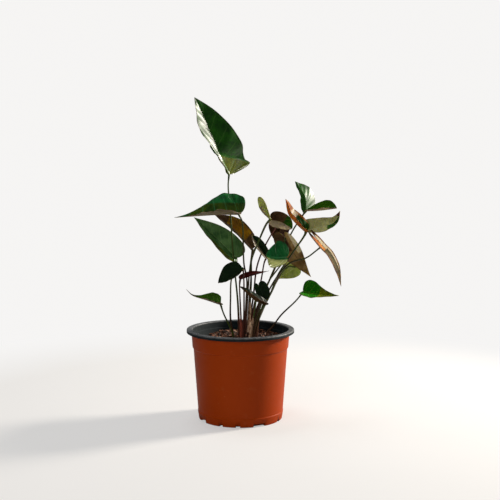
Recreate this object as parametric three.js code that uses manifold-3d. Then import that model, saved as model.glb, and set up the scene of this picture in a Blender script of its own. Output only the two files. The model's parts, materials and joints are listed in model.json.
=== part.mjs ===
// A flamingo flower (Anthurium andraeanum) between blooms, in the plastic pot it was grown in.
// Millimetres, +Z up, +X to the right and +Y away from the side that is seen first.
// The origin is the centre of the pot's underside, on the surface that the pot stands on.
import * as THREE from "three";
import { mergeVertices } from "three/addons/utils/BufferGeometryUtils.js";
import Module from "manifold-3d";

const wasm = await Module();
wasm.setup();

// The pot: an ordinary 15 cm round pot with a flange, a stacking band and drain slots.
const RIM_RADIUS = 75;
const POT_HEIGHT = 126;
const BASE_RADIUS = 59;
const NECK_RADIUS = 68.5;
const WALL = 1.6;
const FLANGE = 1.8;
const ROLL = 4.6;
const BAND_HEIGHT = 21;
const BAND_STEP = 1.4;
const BASE_CHAMFER = 1.5;
const HEEL_HEIGHT = 11.5;
const INNER_STEP_DROP = 9;
const POT_SIDES = 40;
const WIDE_SLOT = { width: 18, height: 4.2, angles: [27] };
const SMALL_SLOT = { width: 6, height: 3, angles: [-3, -27] };
const SLOT_DEPTH = 9;

// The potting mix, a coarse bark mix that stops below the rim.
const SOIL_TOP = 113;
const SOIL_ROUGHNESS = 2.2;
const SOIL_RINGS = 8;
const SOIL_SIDES = 30;
const SOIL_SEED = 11;
const ROOT_DEPTH = 18;

// The clearance between pieces that touch.
const GAP = 0.3;

// Every stalk: thick where it leaves the mix, slim above, with a swollen knee under the blade.
const STALK = { foot: 1.75, shaft: 1.2, top: 1.05, knee: 1.45, sides: 6 };
const STEP_LENGTH = 17;

// Every blade: a leathery sheet with a midrib that stands out underneath. A large blade and one
// with bent lobes are cut into more rows of veins, and more steps out from the rib.
const BLADE = { thickness: 0.8, ribDepth: 0.9 };
const LARGE_BLADE = 48;
const GRID = {
  small: { rows: 8, columns: 3 },
  large: { rows: 11, columns: 4 },
  hooded: { rows: 22, columns: 8 },
};
// An outline's rows: the share of them before the widest point, how many turns the flank counts
// for, how the veins' roots crowd towards the stalk, and the one point of a long ear.
const SHOULDER_SHARE = 0.4;
const FLANK_TURNS = 1.9;
const VEIN_CROWDING = 1.15;
const EAR_POINT = { share: 0.6, turn: -0.2 };
// Where a widened ear stands out most, how far it spreads, and how narrow a pinch may get.
const EAR = { at: 0.22, spread: 0.3 };
const LEAST_WIDTH = 0.08;

// What a leaf's shape starts from, before its own entry changes it.
// widest is where the blade is widest and taper shapes its way to the tip, as shares of the rib.
// fold is how far each half, left and right, rises from flat at the rib, in degrees.
// curl bends each half on across its width, lean pushes its margin towards the tip.
// halves scales the width of the left and the right half, pinch narrows each half towards the
// stalk and ear widens it again at its lobe.
// crease is the share of each half's width past which it bends by so many more degrees.
// hood bends both lobes at a line across the blade: where the line crosses the rib, as a share of
// it, how fast the line runs back over the right half, and the bend in degrees.
const LEAF = {
  widest: 0.1,
  taper: [0.48, 0.74, 0.14],
  fold: [10, 10],
  curl: [0, 0],
  lean: [0, 0],
  halves: [1, 1],
  pinch: [0, 0],
  ear: [0, 0],
  crease: [[1, 0], [1, 0]],
  hood: [0, 0, 0],
};

// The leaves. rib runs from the stalk to the tip, lobe is how far the two ears reach back past
// the stalk, face is the way that the upper side looks, stalk leads down from the blade and foot
// is where it leaves the mix.
const LEAVES = {
  crown: {
    rib: [[-27, 29, 347], [-30, 6, 371], [-47, -1, 413], [-62, -8, 445]],
    width: 38, lobe: 3, widest: 0.2, taper: [0.43, 0.8, 0.35], lean: [1, -0.32], halves: [0.88, 1],
    pinch: [1.5, 0], ear: [0, 0.68],
    face: [0.48, -0.85, 0.1], fold: [25, 12], hood: [0.27, 0.95, -35],
    stalk: [[-17, 18, 321], [-14, 18, 285], [-10, 14, 225], [-4, 9, 165]], foot: [-2, 5],
  },
  left_top: {
    rib: [[-2, -22, 287], [-25, -22, 287], [-55, -20, 285], [-90, -14, 282]],
    width: 36.5, lobe: 9, widest: 0.14, taper: [0.26, 0.42, 0.14], lean: [0.6, 0], halves: [0.85, 1.15],
    crease: [[1, 0], [0.43, -22]], face: [0, -0.46, 0.89], fold: [33, 27],
    stalk: [[3, -20, 275], [4, -16, 247], [5, -12, 218], [9, -10, 196], [8, -9, 165]], foot: [6, -8],
  },
  left_mid: {
    rib: [[-6, 30, 222], [-38, 34, 253], [-66, 34, 279]],
    width: 22, lobe: 4, widest: 0.22, taper: [0.45, 0.8, 0.25], halves: [0.62, 1],
    face: [0.31, -0.89, 0.33], fold: [27, 27],
    stalk: [[-6, 28, 210], [-13, 21, 192], [-14, 11, 166], [-14, 3, 140]], foot: [-11, 1],
  },
  bronze: {
    rib: [[17, 26, 235], [-5, 40, 259], [-37, 52, 281]],
    width: 11, lobe: 1, widest: 0.25, taper: [0.5, 0.8, 0.25],
    face: [0.5, 0.8, 0.5], fold: [15, 15],
    stalk: [[15, 25, 222], [12, 18, 198], [10, 12, 168], [8, 6, 140]], foot: [6, 3],
  },
  edge: {
    rib: [[37, 8, 225], [26, 12, 240], [16, 16, 255]],
    width: 12, lobe: 2, widest: 0.55, taper: [0.5, 0.85, 0.4], halves: [1.1, 0.8],
    face: [0.25, -0.94, 0.2], fold: [55, 45],
    stalk: [[33, 8, 217], [28, 4, 190], [19, 5, 158]], foot: [13, 3],
  },
  front: {
    rib: [[63, -26, 229], [49, -30, 229], [35, -32, 233]],
    width: 25, lobe: 3, taper: [0.55, 0.9, 0.5], lean: [0.9, 0], halves: [1.15, 1],
    face: [0, -0.66, 0.75], fold: [18, 20],
    stalk: [[58, -23, 221], [50, -18, 210], [38, -14, 192], [26, -9, 160]], foot: [17, -7],
  },
  right_bronze: {
    rib: [[63, 20, 251], [77, 24, 226], [100, 30, 194]],
    width: 15, lobe: 13, taper: [0.3, 0.6, 0.15], lean: [0, 1.2], halves: [1.25, 0.8],
    face: [0.1, 0.95, 0.2],
    stalk: [[60, 17, 237], [52, 14, 217], [42, 11, 196], [30, 5, 167]], foot: [16, -2],
  },
  right_pale: {
    rib: [[78, 44, 207], [68, 43, 200], [53, 39, 190]],
    width: 13, lobe: 4,
    face: [0.3, -0.9, 0.3],
    stalk: [[66, 40, 207], [52, 28, 190], [36, 16, 160]], foot: [19, 8],
  },
  small_top: {
    rib: [[41, -4, 279], [32, 0, 293], [25, 6, 309]],
    width: 8, lobe: 2, widest: 0.4, taper: [0.6, 0.98, 0.6], pinch: [0.75, 0.8],
    face: [0.5, 0.7, 0.2],
    stalk: [[34, -4, 270], [24, -6, 246], [15, 2, 219], [15, 1, 190], [13, -2, 155]], foot: [11, -6],
  },
  centre_top: {
    rib: [[42, 12, 277], [56, 12, 274], [72, 8, 265]],
    width: 14, lobe: 2, widest: 0.4, taper: [0.5, 0.9, 0.5], halves: [1, 1],
    face: [0.2, -0.7, 0.68], fold: [25, 5],
    stalk: [[36, 13, 270], [26, 15, 248], [16, 14, 225], [15, 10, 200], [12, 2, 160]], foot: [10, -1],
  },
  dark_back: {
    rib: [[57, 46, 270], [56, 50, 256], [54, 52, 234]],
    width: 17, lobe: 8,
    face: [-0.2, 0.9, 0.3], fold: [15, 15],
    stalk: [[50, 40, 264], [34, 27, 238], [23, 19, 210], [18, 12, 170]], foot: [11, 8],
  },
  high_upright: {
    rib: [[92, 34, 288], [90, 38, 309], [77, 44, 329]],
    width: 21, lobe: 2, widest: 0.25, taper: [0.5, 0.85, 0.3], lean: [0, 0.3], halves: [0.45, 1],
    face: [0.5, -0.85, 0.1], fold: [-80, -15],
    stalk: [[88, 35, 282], [74, 37, 260], [57, 35, 224], [37, 22, 182], [22, 11, 150]], foot: [15, 7],
  },
  high_right: {
    rib: [[92, 22, 289], [112, 17, 290], [134, 10, 293]],
    width: 12, lobe: 1, widest: 0.45, taper: [0.5, 0.9, 0.4], halves: [1.2, 1.6], pinch: [0.9, 0.6],
    face: [0, -0.27, 0.96], fold: [30, 35],
    stalk: [[92, 24, 288], [86, 29, 280], [72, 33, 257], [56, 31, 225], [35, 16, 177]], foot: [18, 3],
  },
  orange: {
    rib: [[90, 4, 261], [77, 0, 273], [66, -4, 287], [62, -8, 307]],
    width: 13, lobe: 1, widest: 0.4, taper: [0.3, 0.6, 0.45], halves: [1, 1.35],
    face: [0.71, -0.54, 0.44], fold: [55, 30], foldTip: [55, 5],
    stalk: [[88, 4, 255], [70, 0, 229], [52, -4, 202], [40, -6, 172], [27, -5, 147]], foot: [22, -4],
  },
  right_top: {
    rib: [[92, 10, 262], [113, 4, 268], [129, 0, 274], [136, -4, 281], [139, -7, 292]],
    width: 17, lobe: 6, widest: 0.05, taper: [0.45, 0.8, 0.3], lean: [-0.1, 1.75], halves: [0.9, 1.15],
    face: [0, -0.8, 0.6], fold: [5, 5],
    stalk: [[89, 11, 254], [72, 9, 230], [55, 6, 203], [44, 4, 178], [28, 2, 147]], foot: [23, 1],
  },
  drooping: {
    rib: [[111, -10, 239], [123, -12, 227], [132, -16, 210], [137, -20, 188]],
    width: 10, lobe: 27, taper: [0.5, 0.8, 0.25], pinch: [0.45, 0.45],
    face: [0.8, -0.4, 0.5], fold: [15, -5],
    stalk: [[102, -10, 234], [90, -10, 226], [68, -10, 219], [50, -9, 199], [34, -9, 168]], foot: [20, -10],
  },
  right_low: {
    rib: [[87, -8, 179], [107, -16, 176], [135, -26, 176]],
    width: 19, lobe: 2, widest: 0.12, taper: [0.3, 0.55, 0.25],
    face: [0, -0.45, 0.89], fold: [40, 22], foldTip: [10, 10],
    stalk: [[76, -6, 165], [57, -3, 146], [45, -1, 129]], foot: [37, 0],
  },
  left_low: {
    rib: [[-27, -20, 163], [-45, -26, 170], [-64, -32, 177], [-73, -34, 186]],
    width: 16, lobe: 0, widest: 0.15, taper: [0.24, 0.36, 0.08],
    face: [0, -0.35, 0.94], fold: [30, 30],
    stalk: [[-23, -18, 150], [-16, -14, 134]], foot: [-10, -10],
  },
  dark_low: {
    rib: [[3, -34, 215], [-14, -44, 203], [-29.5, -52, 197]],
    width: 18, lobe: 1, widest: 0.35, taper: [0.5, 0.85, 0.35], halves: [0.25, 1],
    face: [-0.2, -0.8, 0.5], fold: [12, 12],
    stalk: [[4, -31, 212], [5, -25, 195], [5, -18, 155]], foot: [4, -14],
  },
  furled: {
    rib: [[0, -20, 198], [19, -6, 202], [40, 8, 206]],
    width: 7, lobe: 2, widest: 0.3, taper: [0.3, 0.6, 0.15],
    face: [0, -0.5, 0.8], fold: [50, 50], curl: [30, 30],
    stalk: [[-1, -18, 188], [0, -11, 160], [1, -7, 137]], foot: [1, -5],
  },
  low_heart: {
    rib: [[25, -15, 189], [29, -19, 179], [33, -21, 164]],
    width: 12, lobe: 4, widest: 0.35, taper: [0.5, 0.85, 0.35], halves: [1, 0.6],
    face: [-0.1, -0.9, 0.4], fold: [8, 8],
    stalk: [[23, -14, 180], [20, -12, 155]], foot: [14, -11],
  },
  low_tan: {
    rib: [[34, -28, 164], [21, -36, 171], [9, -42, 182], [-1, -46, 192]],
    width: 9, lobe: 2, widest: 0.3, taper: [0.4, 0.85, 0.5],
    face: [0.2, -0.3, 0.9], fold: [45, 50],
    stalk: [[27, -24, 154], [21, -18, 138]], foot: [18, -15],
  },
};

const material = (color, roughness) =>
  new THREE.MeshStandardMaterial({ color, roughness, metalness: 0 });
const POT_PLASTIC = material(0x9a4a26, 0.55);
const POTTING_MIX = material(0x3a281d, 0.95);
const STALK_GREEN = material(0x3f3a24, 0.5);
const LEAF_GREEN = material(0x27472a, 0.35);
const LEAF_BRONZE = material(0x6a4426, 0.4);
const BRONZE_LEAVES = ["bronze", "right_bronze", "dark_back", "orange", "furled"];

const clamp = THREE.MathUtils.clamp;
const lerp = THREE.MathUtils.lerp;
const degToRad = THREE.MathUtils.degToRad;
const vector = (p) => new THREE.Vector3(...p);
const smoothThrough = (points) =>
  new THREE.CatmullRomCurve3(points.map(vector), false, "catmullrom", 0.5);

// Closed triangles to a solid, and a solid back to a geometry.
function solidOf(geometry) {
  const bare = geometry.clone();
  bare.deleteAttribute("normal");
  bare.deleteAttribute("uv");
  const merged = mergeVertices(bare, 1e-3);
  const mesh = new wasm.Mesh({
    numProp: 3,
    vertProperties: merged.attributes.position.array,
    triVerts: new Uint32Array(merged.index.array),
  });
  return new wasm.Manifold(mesh);
}

function geometryOf(solid) {
  const mesh = solid.getMesh();
  const geometry = new THREE.BufferGeometry();
  geometry.setAttribute("position", new THREE.BufferAttribute(mesh.vertProperties, 3));
  geometry.setIndex(new THREE.BufferAttribute(mesh.triVerts, 1));
  geometry.computeVertexNormals();
  return geometry;
}

function largestBody(solid) {
  const bodies = solid.decompose();
  return bodies.reduce((best, body) => (body.volume() > best.volume() ? body : best));
}

function fromTriangles(points, faces) {
  const geometry = new THREE.BufferGeometry();
  const flat = points.flatMap((p) => [p.x, p.y, p.z]);
  geometry.setAttribute("position", new THREE.Float32BufferAttribute(flat, 3));
  geometry.setIndex(faces.flat());
  return geometry;
}

// One half of a blade's outline in the flat: out of the notch, round the ear, past the widest
// point and down to the tip. Each point also has the place on the rib that its vein starts from,
// and its turn, which runs from 0 where the ear ends to 1 at the widest point.
function outlineOf(leaf, length, rows) {
  const { width: w, lobe: b } = leaf;
  const wide = leaf.widest * length;
  const rest = length - wide;
  const ear = new THREE.CubicBezierCurve(
    new THREE.Vector2(0, 0),
    new THREE.Vector2(-0.35 * b, 0.05 * w),
    new THREE.Vector2(-b, 0.12 * w),
    new THREE.Vector2(-b, 0.45 * w),
  );
  const shoulder = new THREE.CubicBezierCurve(
    new THREE.Vector2(-b, 0.45 * w),
    new THREE.Vector2(-b, 0.8 * w),
    new THREE.Vector2(-0.35 * b + 0.3 * wide, w),
    new THREE.Vector2(wide, w),
  );
  const flank = new THREE.CubicBezierCurve(
    new THREE.Vector2(wide, w),
    new THREE.Vector2(wide + rest * leaf.taper[0], w),
    new THREE.Vector2(wide + rest * leaf.taper[1], leaf.taper[2] * w),
    new THREE.Vector2(length, 0),
  );
  const shoulderRows = Math.round(rows * SHOULDER_SHARE);
  const flankRows = rows - shoulderRows;
  const outline = [];
  for (let i = 0; i < shoulderRows; i += 1) {
    const turn = i / shoulderRows;
    outline.push({ edge: shoulder.getPoint(turn), root: 0, turn });
  }
  for (let i = 0; i <= flankRows; i += 1) {
    const share = i / flankRows;
    const turn = 1 + FLANK_TURNS * share;
    outline.push({ edge: flank.getPoint(share), root: length * share ** VEIN_CROWDING, turn });
  }
  const earEdge = ear.getPoint(EAR_POINT.share);
  if (b > w / 2) outline.unshift({ edge: earEdge, root: 0, turn: EAR_POINT.turn });
  return outline;
}

// How wide one half is at a point of its outline, after its pinch and its ear.
function halfWidth(leaf, half, { edge, turn }) {
  const back = 1 - clamp(edge.x / leaf.length, 0, 1);
  const narrowed = Math.max(LEAST_WIDTH, 1 - leaf.pinch[half] * back ** 2);
  const ear = leaf.ear[half] * Math.exp(-(((turn - EAR.at) / EAR.spread) ** 2));
  return edge.y * leaf.halves[half] * (narrowed + ear);
}

// How far a flat point lies beyond the line where the lobes bend.
function beyondHood({ hood: [start, slope], length }, x, y) {
  const line = start * length + slope * Math.min(y, 0);
  return Math.max(0, line - x) / Math.hypot(1, slope);
}

// A flat point of a blade, x along the rib and y out to the left, in its place on the plant.
function bladePoint(leaf, x, y) {
  const { curve, length } = leaf;
  const along = clamp(x / length, 0, 1);
  const tangent = curve.getTangentAt(along);
  const facing = vector(leaf.face);
  const normal = facing.addScaledVector(tangent, -facing.dot(tangent)).normalize();
  const side = new THREE.Vector3().crossVectors(normal, tangent);
  const half = y >= 0 ? 0 : 1;
  const out = Math.abs(y);
  const foldTip = leaf.foldTip ?? leaf.fold;
  const bend = lerp(leaf.fold[half], foldTip[half], along) + (leaf.curl[half] * out) / leaf.width / 2;
  const [share, extra] = leaf.crease[half];
  const near = Math.min(out, share * leaf.width * leaf.halves[half]);
  const far = out - near;
  const [inner, outer] = [degToRad(bend), degToRad(bend + extra)];
  const across = near * Math.cos(inner) + far * Math.cos(outer);
  const lift = near * Math.sin(inner) + far * Math.sin(outer);
  const drop = Math.tan(degToRad(leaf.hood[2])) * beyondHood(leaf, x, y);
  return curve
    .getPointAt(along)
    .addScaledVector(tangent, Math.min(x, 0))
    .addScaledVector(side, across * (half ? -1 : 1))
    .addScaledVector(normal, lift - drop);
}

function gridOf({ hood, length }) {
  if (hood[2] !== 0) return GRID.hooded;
  return length > LARGE_BLADE ? GRID.large : GRID.small;
}

// A blade as two like skins, one on each side of its middle sheet, closed along the margin.
function bladeGeometry(leaf, swell = 0) {
  const { length } = leaf;
  const { rows, columns } = gridOf(leaf);
  const points = [];
  const faces = [];
  const add = (point) => points.push(point) - 1;
  const outline = outlineOf(leaf, length, rows);
  const last = outline.length - 1;
  const stem = add(bladePoint(leaf, 0, 0));
  const tip = add(bladePoint(leaf, length, 0));
  const rib = outline.map(({ root }, row) => {
    if (row === last) return tip;
    return root === 0 ? stem : add(bladePoint(leaf, root, 0));
  });
  const edges = [0, 1].map((half) => {
    const sign = half ? -1 : 1;
    const grid = outline.map((point, row) =>
      Array.from({ length: columns + 1 }, (_, column) => {
        if (column === 0) return rib[row];
        if (row === last) return tip;
        const { edge, root } = point;
        const out = (halfWidth(leaf, half, point) * column) / columns;
        const x = root + ((edge.x - root) * column) / columns;
        const leant = x + leaf.lean[half] * out * (1 - clamp(x / length, 0, 1));
        return add(bladePoint(leaf, leant, sign * out));
      }),
    );
    for (let row = 0; row < last; row += 1)
      for (let column = 0; column < columns; column += 1) {
        const [a, b] = [grid[row][column], grid[row][column + 1]];
        const [c, d] = [grid[row + 1][column], grid[row + 1][column + 1]];
        for (const face of [[a, c, d], [a, d, b]]) {
          if (new Set(face).size < 3) continue;
          faces.push(half ? face.toReversed() : face);
        }
      }
    return [...grid[0], ...grid.slice(1).map((line) => line[columns])];
  });
  const margin = [...edges[0], ...edges[1].slice(1, -1).reverse()];

  const normals = points.map(() => new THREE.Vector3());
  for (const [a, b, c] of faces) {
    const ab = points[b].clone().sub(points[a]);
    const ac = points[c].clone().sub(points[a]);
    const across = ab.cross(ac);
    for (const corner of [a, b, c]) normals[corner].add(across);
  }
  const half = BLADE.thickness / 2 + swell;
  const onRib = new Map(rib.map((index, row) => [index, 1 - outline[row].root / length]));
  const upper = points.map((p, i) => p.clone().addScaledVector(normals[i].normalize(), half));
  const lower = points.map((p, i) => {
    const ridge = onRib.has(i) ? BLADE.ribDepth * onRib.get(i) : 0;
    return p.clone().addScaledVector(normals[i], -half - ridge);
  });
  const under = points.length;
  const skins = [
    ...faces,
    ...faces.map(([a, b, c]) => [c + under, b + under, a + under]),
  ];
  margin.forEach((a, i) => {
    const b = margin[(i + 1) % margin.length];
    skins.push([a, b, b + under], [a, b + under, a + under]);
  });
  return fromTriangles([...upper, ...lower], skins);
}

// A stalk as a tube of changing thickness with closed ends.
function stalkGeometry(leaf, swell = 0) {
  const { stalkCurve } = leaf;
  const length = stalkCurve.getLength();
  const steps = Math.max(6, Math.round(length / STEP_LENGTH));
  const { sides } = STALK;
  const frames = stalkCurve.computeFrenetFrames(steps, false);
  const points = [];
  const faces = [];
  for (let step = 0; step <= steps; step += 1) {
    const centre = stalkCurve.getPointAt(step / steps);
    const down = (step / steps) * length;
    const radius = stalkRadius(down, length) + swell;
    for (let side = 0; side < sides; side += 1) {
      const angle = (side / sides) * 2 * Math.PI;
      points.push(
        centre
          .clone()
          .addScaledVector(frames.normals[step], radius * Math.cos(angle))
          .addScaledVector(frames.binormals[step], radius * Math.sin(angle)),
      );
    }
  }
  for (let step = 0; step < steps; step += 1)
    for (let side = 0; side < sides; side += 1) {
      const next = (side + 1) % sides;
      const [a, b] = [step * sides + side, step * sides + next];
      const [c, d] = [a + sides, b + sides];
      faces.push([a, b, d], [a, d, c]);
    }
  for (let side = 1; side < sides - 1; side += 1) {
    const end = steps * sides;
    faces.push([0, side + 1, side], [end, end + side, end + side + 1]);
  }
  return fromTriangles(points, faces);
}

function stalkRadius(down, length) {
  const share = down / length;
  if (down < STEP_LENGTH / 2) return STALK.knee;
  if (share < 0.5) return lerp(STALK.top, STALK.shaft, share * 2);
  return lerp(STALK.shaft, STALK.foot, clamp((share - 0.5) * 2, 0, 1) ** 2);
}

// A leaf's entry with its defaults and its two curves.
function grown(entry) {
  const leaf = { ...LEAF, ...entry };
  leaf.curve = smoothThrough(leaf.rib);
  leaf.length = leaf.curve.getLength();
  const [x, y] = leaf.foot;
  const feet = [[x, y, SOIL_TOP + 6], [x, y, SOIL_TOP - ROOT_DEPTH]];
  leaf.stalkCurve = smoothThrough([bladePoint(leaf, 0, 0).toArray(), ...leaf.stalk, ...feet]);
  return leaf;
}

// The stalk stops a hair short of its blade, against the underside of the rib.
function stalkSolid(leaf) {
  const tube = solidOf(stalkGeometry(leaf));
  const room = solidOf(bladeGeometry(leaf, GAP));
  const back = leaf.curve.getTangentAt(0).multiplyScalar(-1.5 * GAP);
  const behind = room.translate([back.x, back.y, back.z]);
  return largestBody(tube.subtract(room).subtract(behind));
}

// The pot's wall, turned: up the outside, over the flange and down the inside.
function potProfile() {
  const slope = (NECK_RADIUS - BASE_RADIUS) / (POT_HEIGHT - ROLL);
  const outer = (z) => BASE_RADIUS + slope * z;
  const bandFoot = POT_HEIGHT - ROLL - BAND_HEIGHT;
  const innerStep = POT_HEIGHT - INNER_STEP_DROP;
  const floor = WALL + 0.4;
  return [
    [0, 0],
    [BASE_RADIUS - BASE_CHAMFER, 0],
    [BASE_RADIUS, BASE_CHAMFER],
    [outer(HEEL_HEIGHT), HEEL_HEIGHT],
    [outer(HEEL_HEIGHT) - 0.5, HEEL_HEIGHT + 0.8],
    [outer(bandFoot) - BAND_STEP, bandFoot - 1],
    [outer(bandFoot), bandFoot + 0.4],
    [NECK_RADIUS, POT_HEIGHT - ROLL],
    [NECK_RADIUS, POT_HEIGHT - FLANGE],
    [RIM_RADIUS - 1.6, POT_HEIGHT - FLANGE - 0.4],
    [RIM_RADIUS - 1.6, POT_HEIGHT - ROLL],
    [RIM_RADIUS - 0.3, POT_HEIGHT - ROLL],
    [RIM_RADIUS, POT_HEIGHT - ROLL + 1],
    [RIM_RADIUS - 0.2, POT_HEIGHT - 1],
    [RIM_RADIUS - 1.5, POT_HEIGHT],
    [NECK_RADIUS - 1.2, POT_HEIGHT - 0.2],
    [NECK_RADIUS - WALL, POT_HEIGHT - 1.6],
    [outer(innerStep) - WALL, innerStep],
    [outer(innerStep) - WALL - 1.2, innerStep - 0.8],
    [outer(bandFoot) - BAND_STEP - WALL, bandFoot - 1],
    [BASE_RADIUS - WALL + 0.4, floor + 1.5],
    [BASE_RADIUS - WALL - 1.2, floor],
    [0, floor],
  ];
}

function turned(profile, sides) {
  const points = profile.map(([radius, height]) => new THREE.Vector2(radius, height));
  const geometry = new THREE.LatheGeometry(points, sides);
  geometry.rotateX(Math.PI / 2);
  return geometry;
}

// The drain slots cut the corner between the wall and the floor.
function slotCutters({ width, height, angles }) {
  const cutters = [];
  for (let quarter = 0; quarter < 4; quarter += 1)
    for (const angle of angles) {
      const box = new THREE.BoxGeometry(width, SLOT_DEPTH, height * 2);
      box.translate(0, -BASE_RADIUS + SLOT_DEPTH / 2 - 1, 0);
      box.rotateZ(degToRad(angle + quarter * 90));
      cutters.push(solidOf(box));
    }
  return cutters;
}

function potSolid() {
  const shell = solidOf(turned(potProfile(), POT_SIDES));
  const cutters = [...slotCutters(WIDE_SLOT), ...slotCutters(SMALL_SLOT)];
  return cutters.reduce((pot, cutter) => pot.subtract(cutter), shell);
}

// The mix fills the pot and has a rough top, so its upper skin is raised by a seeded draw.
function soilGeometry() {
  const slope = (NECK_RADIUS - BASE_RADIUS) / (POT_HEIGHT - ROLL);
  const bandFoot = POT_HEIGHT - ROLL - BAND_HEIGHT;
  const inside = (z) => BASE_RADIUS + slope * z - WALL - GAP;
  const stepIn = inside(bandFoot) - BAND_STEP;
  const floor = WALL + 0.4 + GAP;
  const wall = [
    [BASE_RADIUS - WALL - 2.2, floor],
    [BASE_RADIUS - WALL - GAP - 0.6, floor + 2.4],
    [stepIn - 0.3, bandFoot - 2],
    [stepIn, bandFoot],
    [inside(SOIL_TOP) - 2, SOIL_TOP],
  ];
  const edge = wall.at(-1)[0];
  let seed = SOIL_SEED;
  const draw = () => {
    seed = (seed * 16807) % 2147483647;
    return seed / 2147483647;
  };
  const points = [new THREE.Vector3(0, 0, floor)];
  const ring = (radius, heightOf) => {
    for (let side = 0; side < SOIL_SIDES; side += 1) {
      const angle = (side / SOIL_SIDES) * 2 * Math.PI;
      points.push(new THREE.Vector3(radius * Math.cos(angle), radius * Math.sin(angle), heightOf()));
    }
  };
  for (const [radius, height] of wall) ring(radius, () => height);
  for (let i = 1; i < SOIL_RINGS; i += 1)
    ring(edge * (1 - i / SOIL_RINGS), () => SOIL_TOP + (draw() - 0.35) * 2 * SOIL_ROUGHNESS);
  points.push(new THREE.Vector3(0, 0, SOIL_TOP));
  const rings = wall.length + SOIL_RINGS - 1;
  const centre = points.length - 1;
  const faces = [];
  for (let side = 0; side < SOIL_SIDES; side += 1) {
    const next = (side + 1) % SOIL_SIDES;
    const at = (level, turn) => 1 + level * SOIL_SIDES + turn;
    faces.push([0, at(0, next), at(0, side)]);
    for (let level = 0; level < rings - 1; level += 1) {
      const [a, b] = [at(level, side), at(level, next)];
      const [c, d] = [at(level + 1, side), at(level + 1, next)];
      faces.push([a, b, d], [a, d, c]);
    }
    faces.push([at(rings - 1, side), at(rings - 1, next), centre]);
  }
  return fromTriangles(points, faces);
}

function soilSolid(leaves) {
  const holes = leaves.map((leaf) => solidOf(stalkGeometry(leaf, GAP)));
  const soil = holes.reduce((mix, hole) => mix.subtract(hole), solidOf(soilGeometry()));
  return largestBody(soil);
}

const plant = new THREE.Group();

function place(name, geometry, finish) {
  const mesh = new THREE.Mesh(geometry, finish);
  mesh.name = name;
  plant.add(mesh);
}

const leaves = Object.entries(LEAVES).map(([name, entry]) => ({ name, ...grown(entry) }));
place("pot", geometryOf(potSolid()), POT_PLASTIC);
place("potting_mix", geometryOf(soilSolid(leaves)), POTTING_MIX);
for (const leaf of leaves) {
  const finish = BRONZE_LEAVES.includes(leaf.name) ? LEAF_BRONZE : LEAF_GREEN;
  place(`blade_${leaf.name}`, bladeGeometry(leaf), finish);
  place(`stalk_${leaf.name}`, geometryOf(stalkSolid(leaf)), STALK_GREEN);
}

export default plant;
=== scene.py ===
# %% [markdown]
# # A flamingo flower between blooms, in its nursery pot
# The plant is a young Anthurium: leathery blades, each on a slim stalk of its own, rising from
# coarse bark mix in a plastic pot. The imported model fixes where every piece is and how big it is.
# This lesson puts the finished surfaces around it, one kind of piece at a time.

# %% Load the frame
import json
import math

import bpy
import bmesh
import numpy as np
from mathutils import Euler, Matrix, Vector, noise

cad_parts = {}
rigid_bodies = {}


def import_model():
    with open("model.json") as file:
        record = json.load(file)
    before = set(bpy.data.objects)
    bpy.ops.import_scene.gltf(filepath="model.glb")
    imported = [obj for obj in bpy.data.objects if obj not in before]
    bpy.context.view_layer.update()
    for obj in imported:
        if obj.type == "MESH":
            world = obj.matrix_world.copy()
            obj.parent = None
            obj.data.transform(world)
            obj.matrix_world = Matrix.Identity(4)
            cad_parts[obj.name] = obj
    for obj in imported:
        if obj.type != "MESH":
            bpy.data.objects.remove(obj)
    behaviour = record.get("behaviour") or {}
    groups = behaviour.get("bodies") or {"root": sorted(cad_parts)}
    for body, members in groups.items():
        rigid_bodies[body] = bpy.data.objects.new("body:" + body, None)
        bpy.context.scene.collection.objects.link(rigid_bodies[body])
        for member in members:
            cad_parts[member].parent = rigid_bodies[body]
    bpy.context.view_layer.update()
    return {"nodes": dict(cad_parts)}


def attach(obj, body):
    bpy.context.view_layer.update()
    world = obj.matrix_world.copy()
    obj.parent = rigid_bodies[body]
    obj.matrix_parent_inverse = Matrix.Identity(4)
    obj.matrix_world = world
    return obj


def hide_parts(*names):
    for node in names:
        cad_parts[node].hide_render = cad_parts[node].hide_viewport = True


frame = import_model()
MM = 0.001
print("nodes to dress:", len(frame["nodes"]))

# %% [markdown]
# ## The camera
# The photograph looks slightly down on the pot from about a metre and a half, through a lens of
# short telephoto length. The same distance and tilt keep the rim's ellipse as open as it was.

# %% Camera
CAMERA_PLACE = Vector((13.3, -1433.0, 388.5)) * MM
CAMERA_TILT = 0.106
CAMERA_LENS = 75.0

camera_data = bpy.data.cameras.new("camera")
camera_data.lens = CAMERA_LENS
camera_data.sensor_width = 36.0
camera = bpy.data.objects.new("camera", camera_data)
camera.location = CAMERA_PLACE
camera.rotation_euler = Euler((math.pi / 2 - CAMERA_TILT, 0.0, 0.0))
bpy.context.scene.collection.objects.link(camera)
bpy.context.scene.camera = camera
bpy.context.scene.view_settings.view_transform = "Standard"
print("camera is", round(-CAMERA_PLACE.y, 3), "m in front of the pot's axis")

# %% [markdown]
# ## Small helpers for materials
# A procedural material is a chain of small nodes. Naming the steps, such as a blend of two colours
# or a soft threshold, keeps every finish below short enough to read as a recipe.


# %% Material helpers
def new_material(name):
    """A new material, its tree and its Principled shader."""
    material = bpy.data.materials.new(name)
    material.use_nodes = True
    tree = material.node_tree
    shader = tree.nodes["Principled BSDF"]
    return material, tree, shader


def node(tree, kind, inputs=None, **settings):
    """A node with its settings, its inputs either linked from a socket or given a value."""
    made = tree.nodes.new(kind)
    for key, value in settings.items():
        setattr(made, key, value)
    for key, value in (inputs or {}).items():
        plug(tree, value, made.inputs[key])
    return made


def plug(tree, value, socket):
    """Links a socket, or sets a plain value."""
    if isinstance(value, bpy.types.NodeSocket):
        tree.links.new(value, socket)
    else:
        socket.default_value = value


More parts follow.
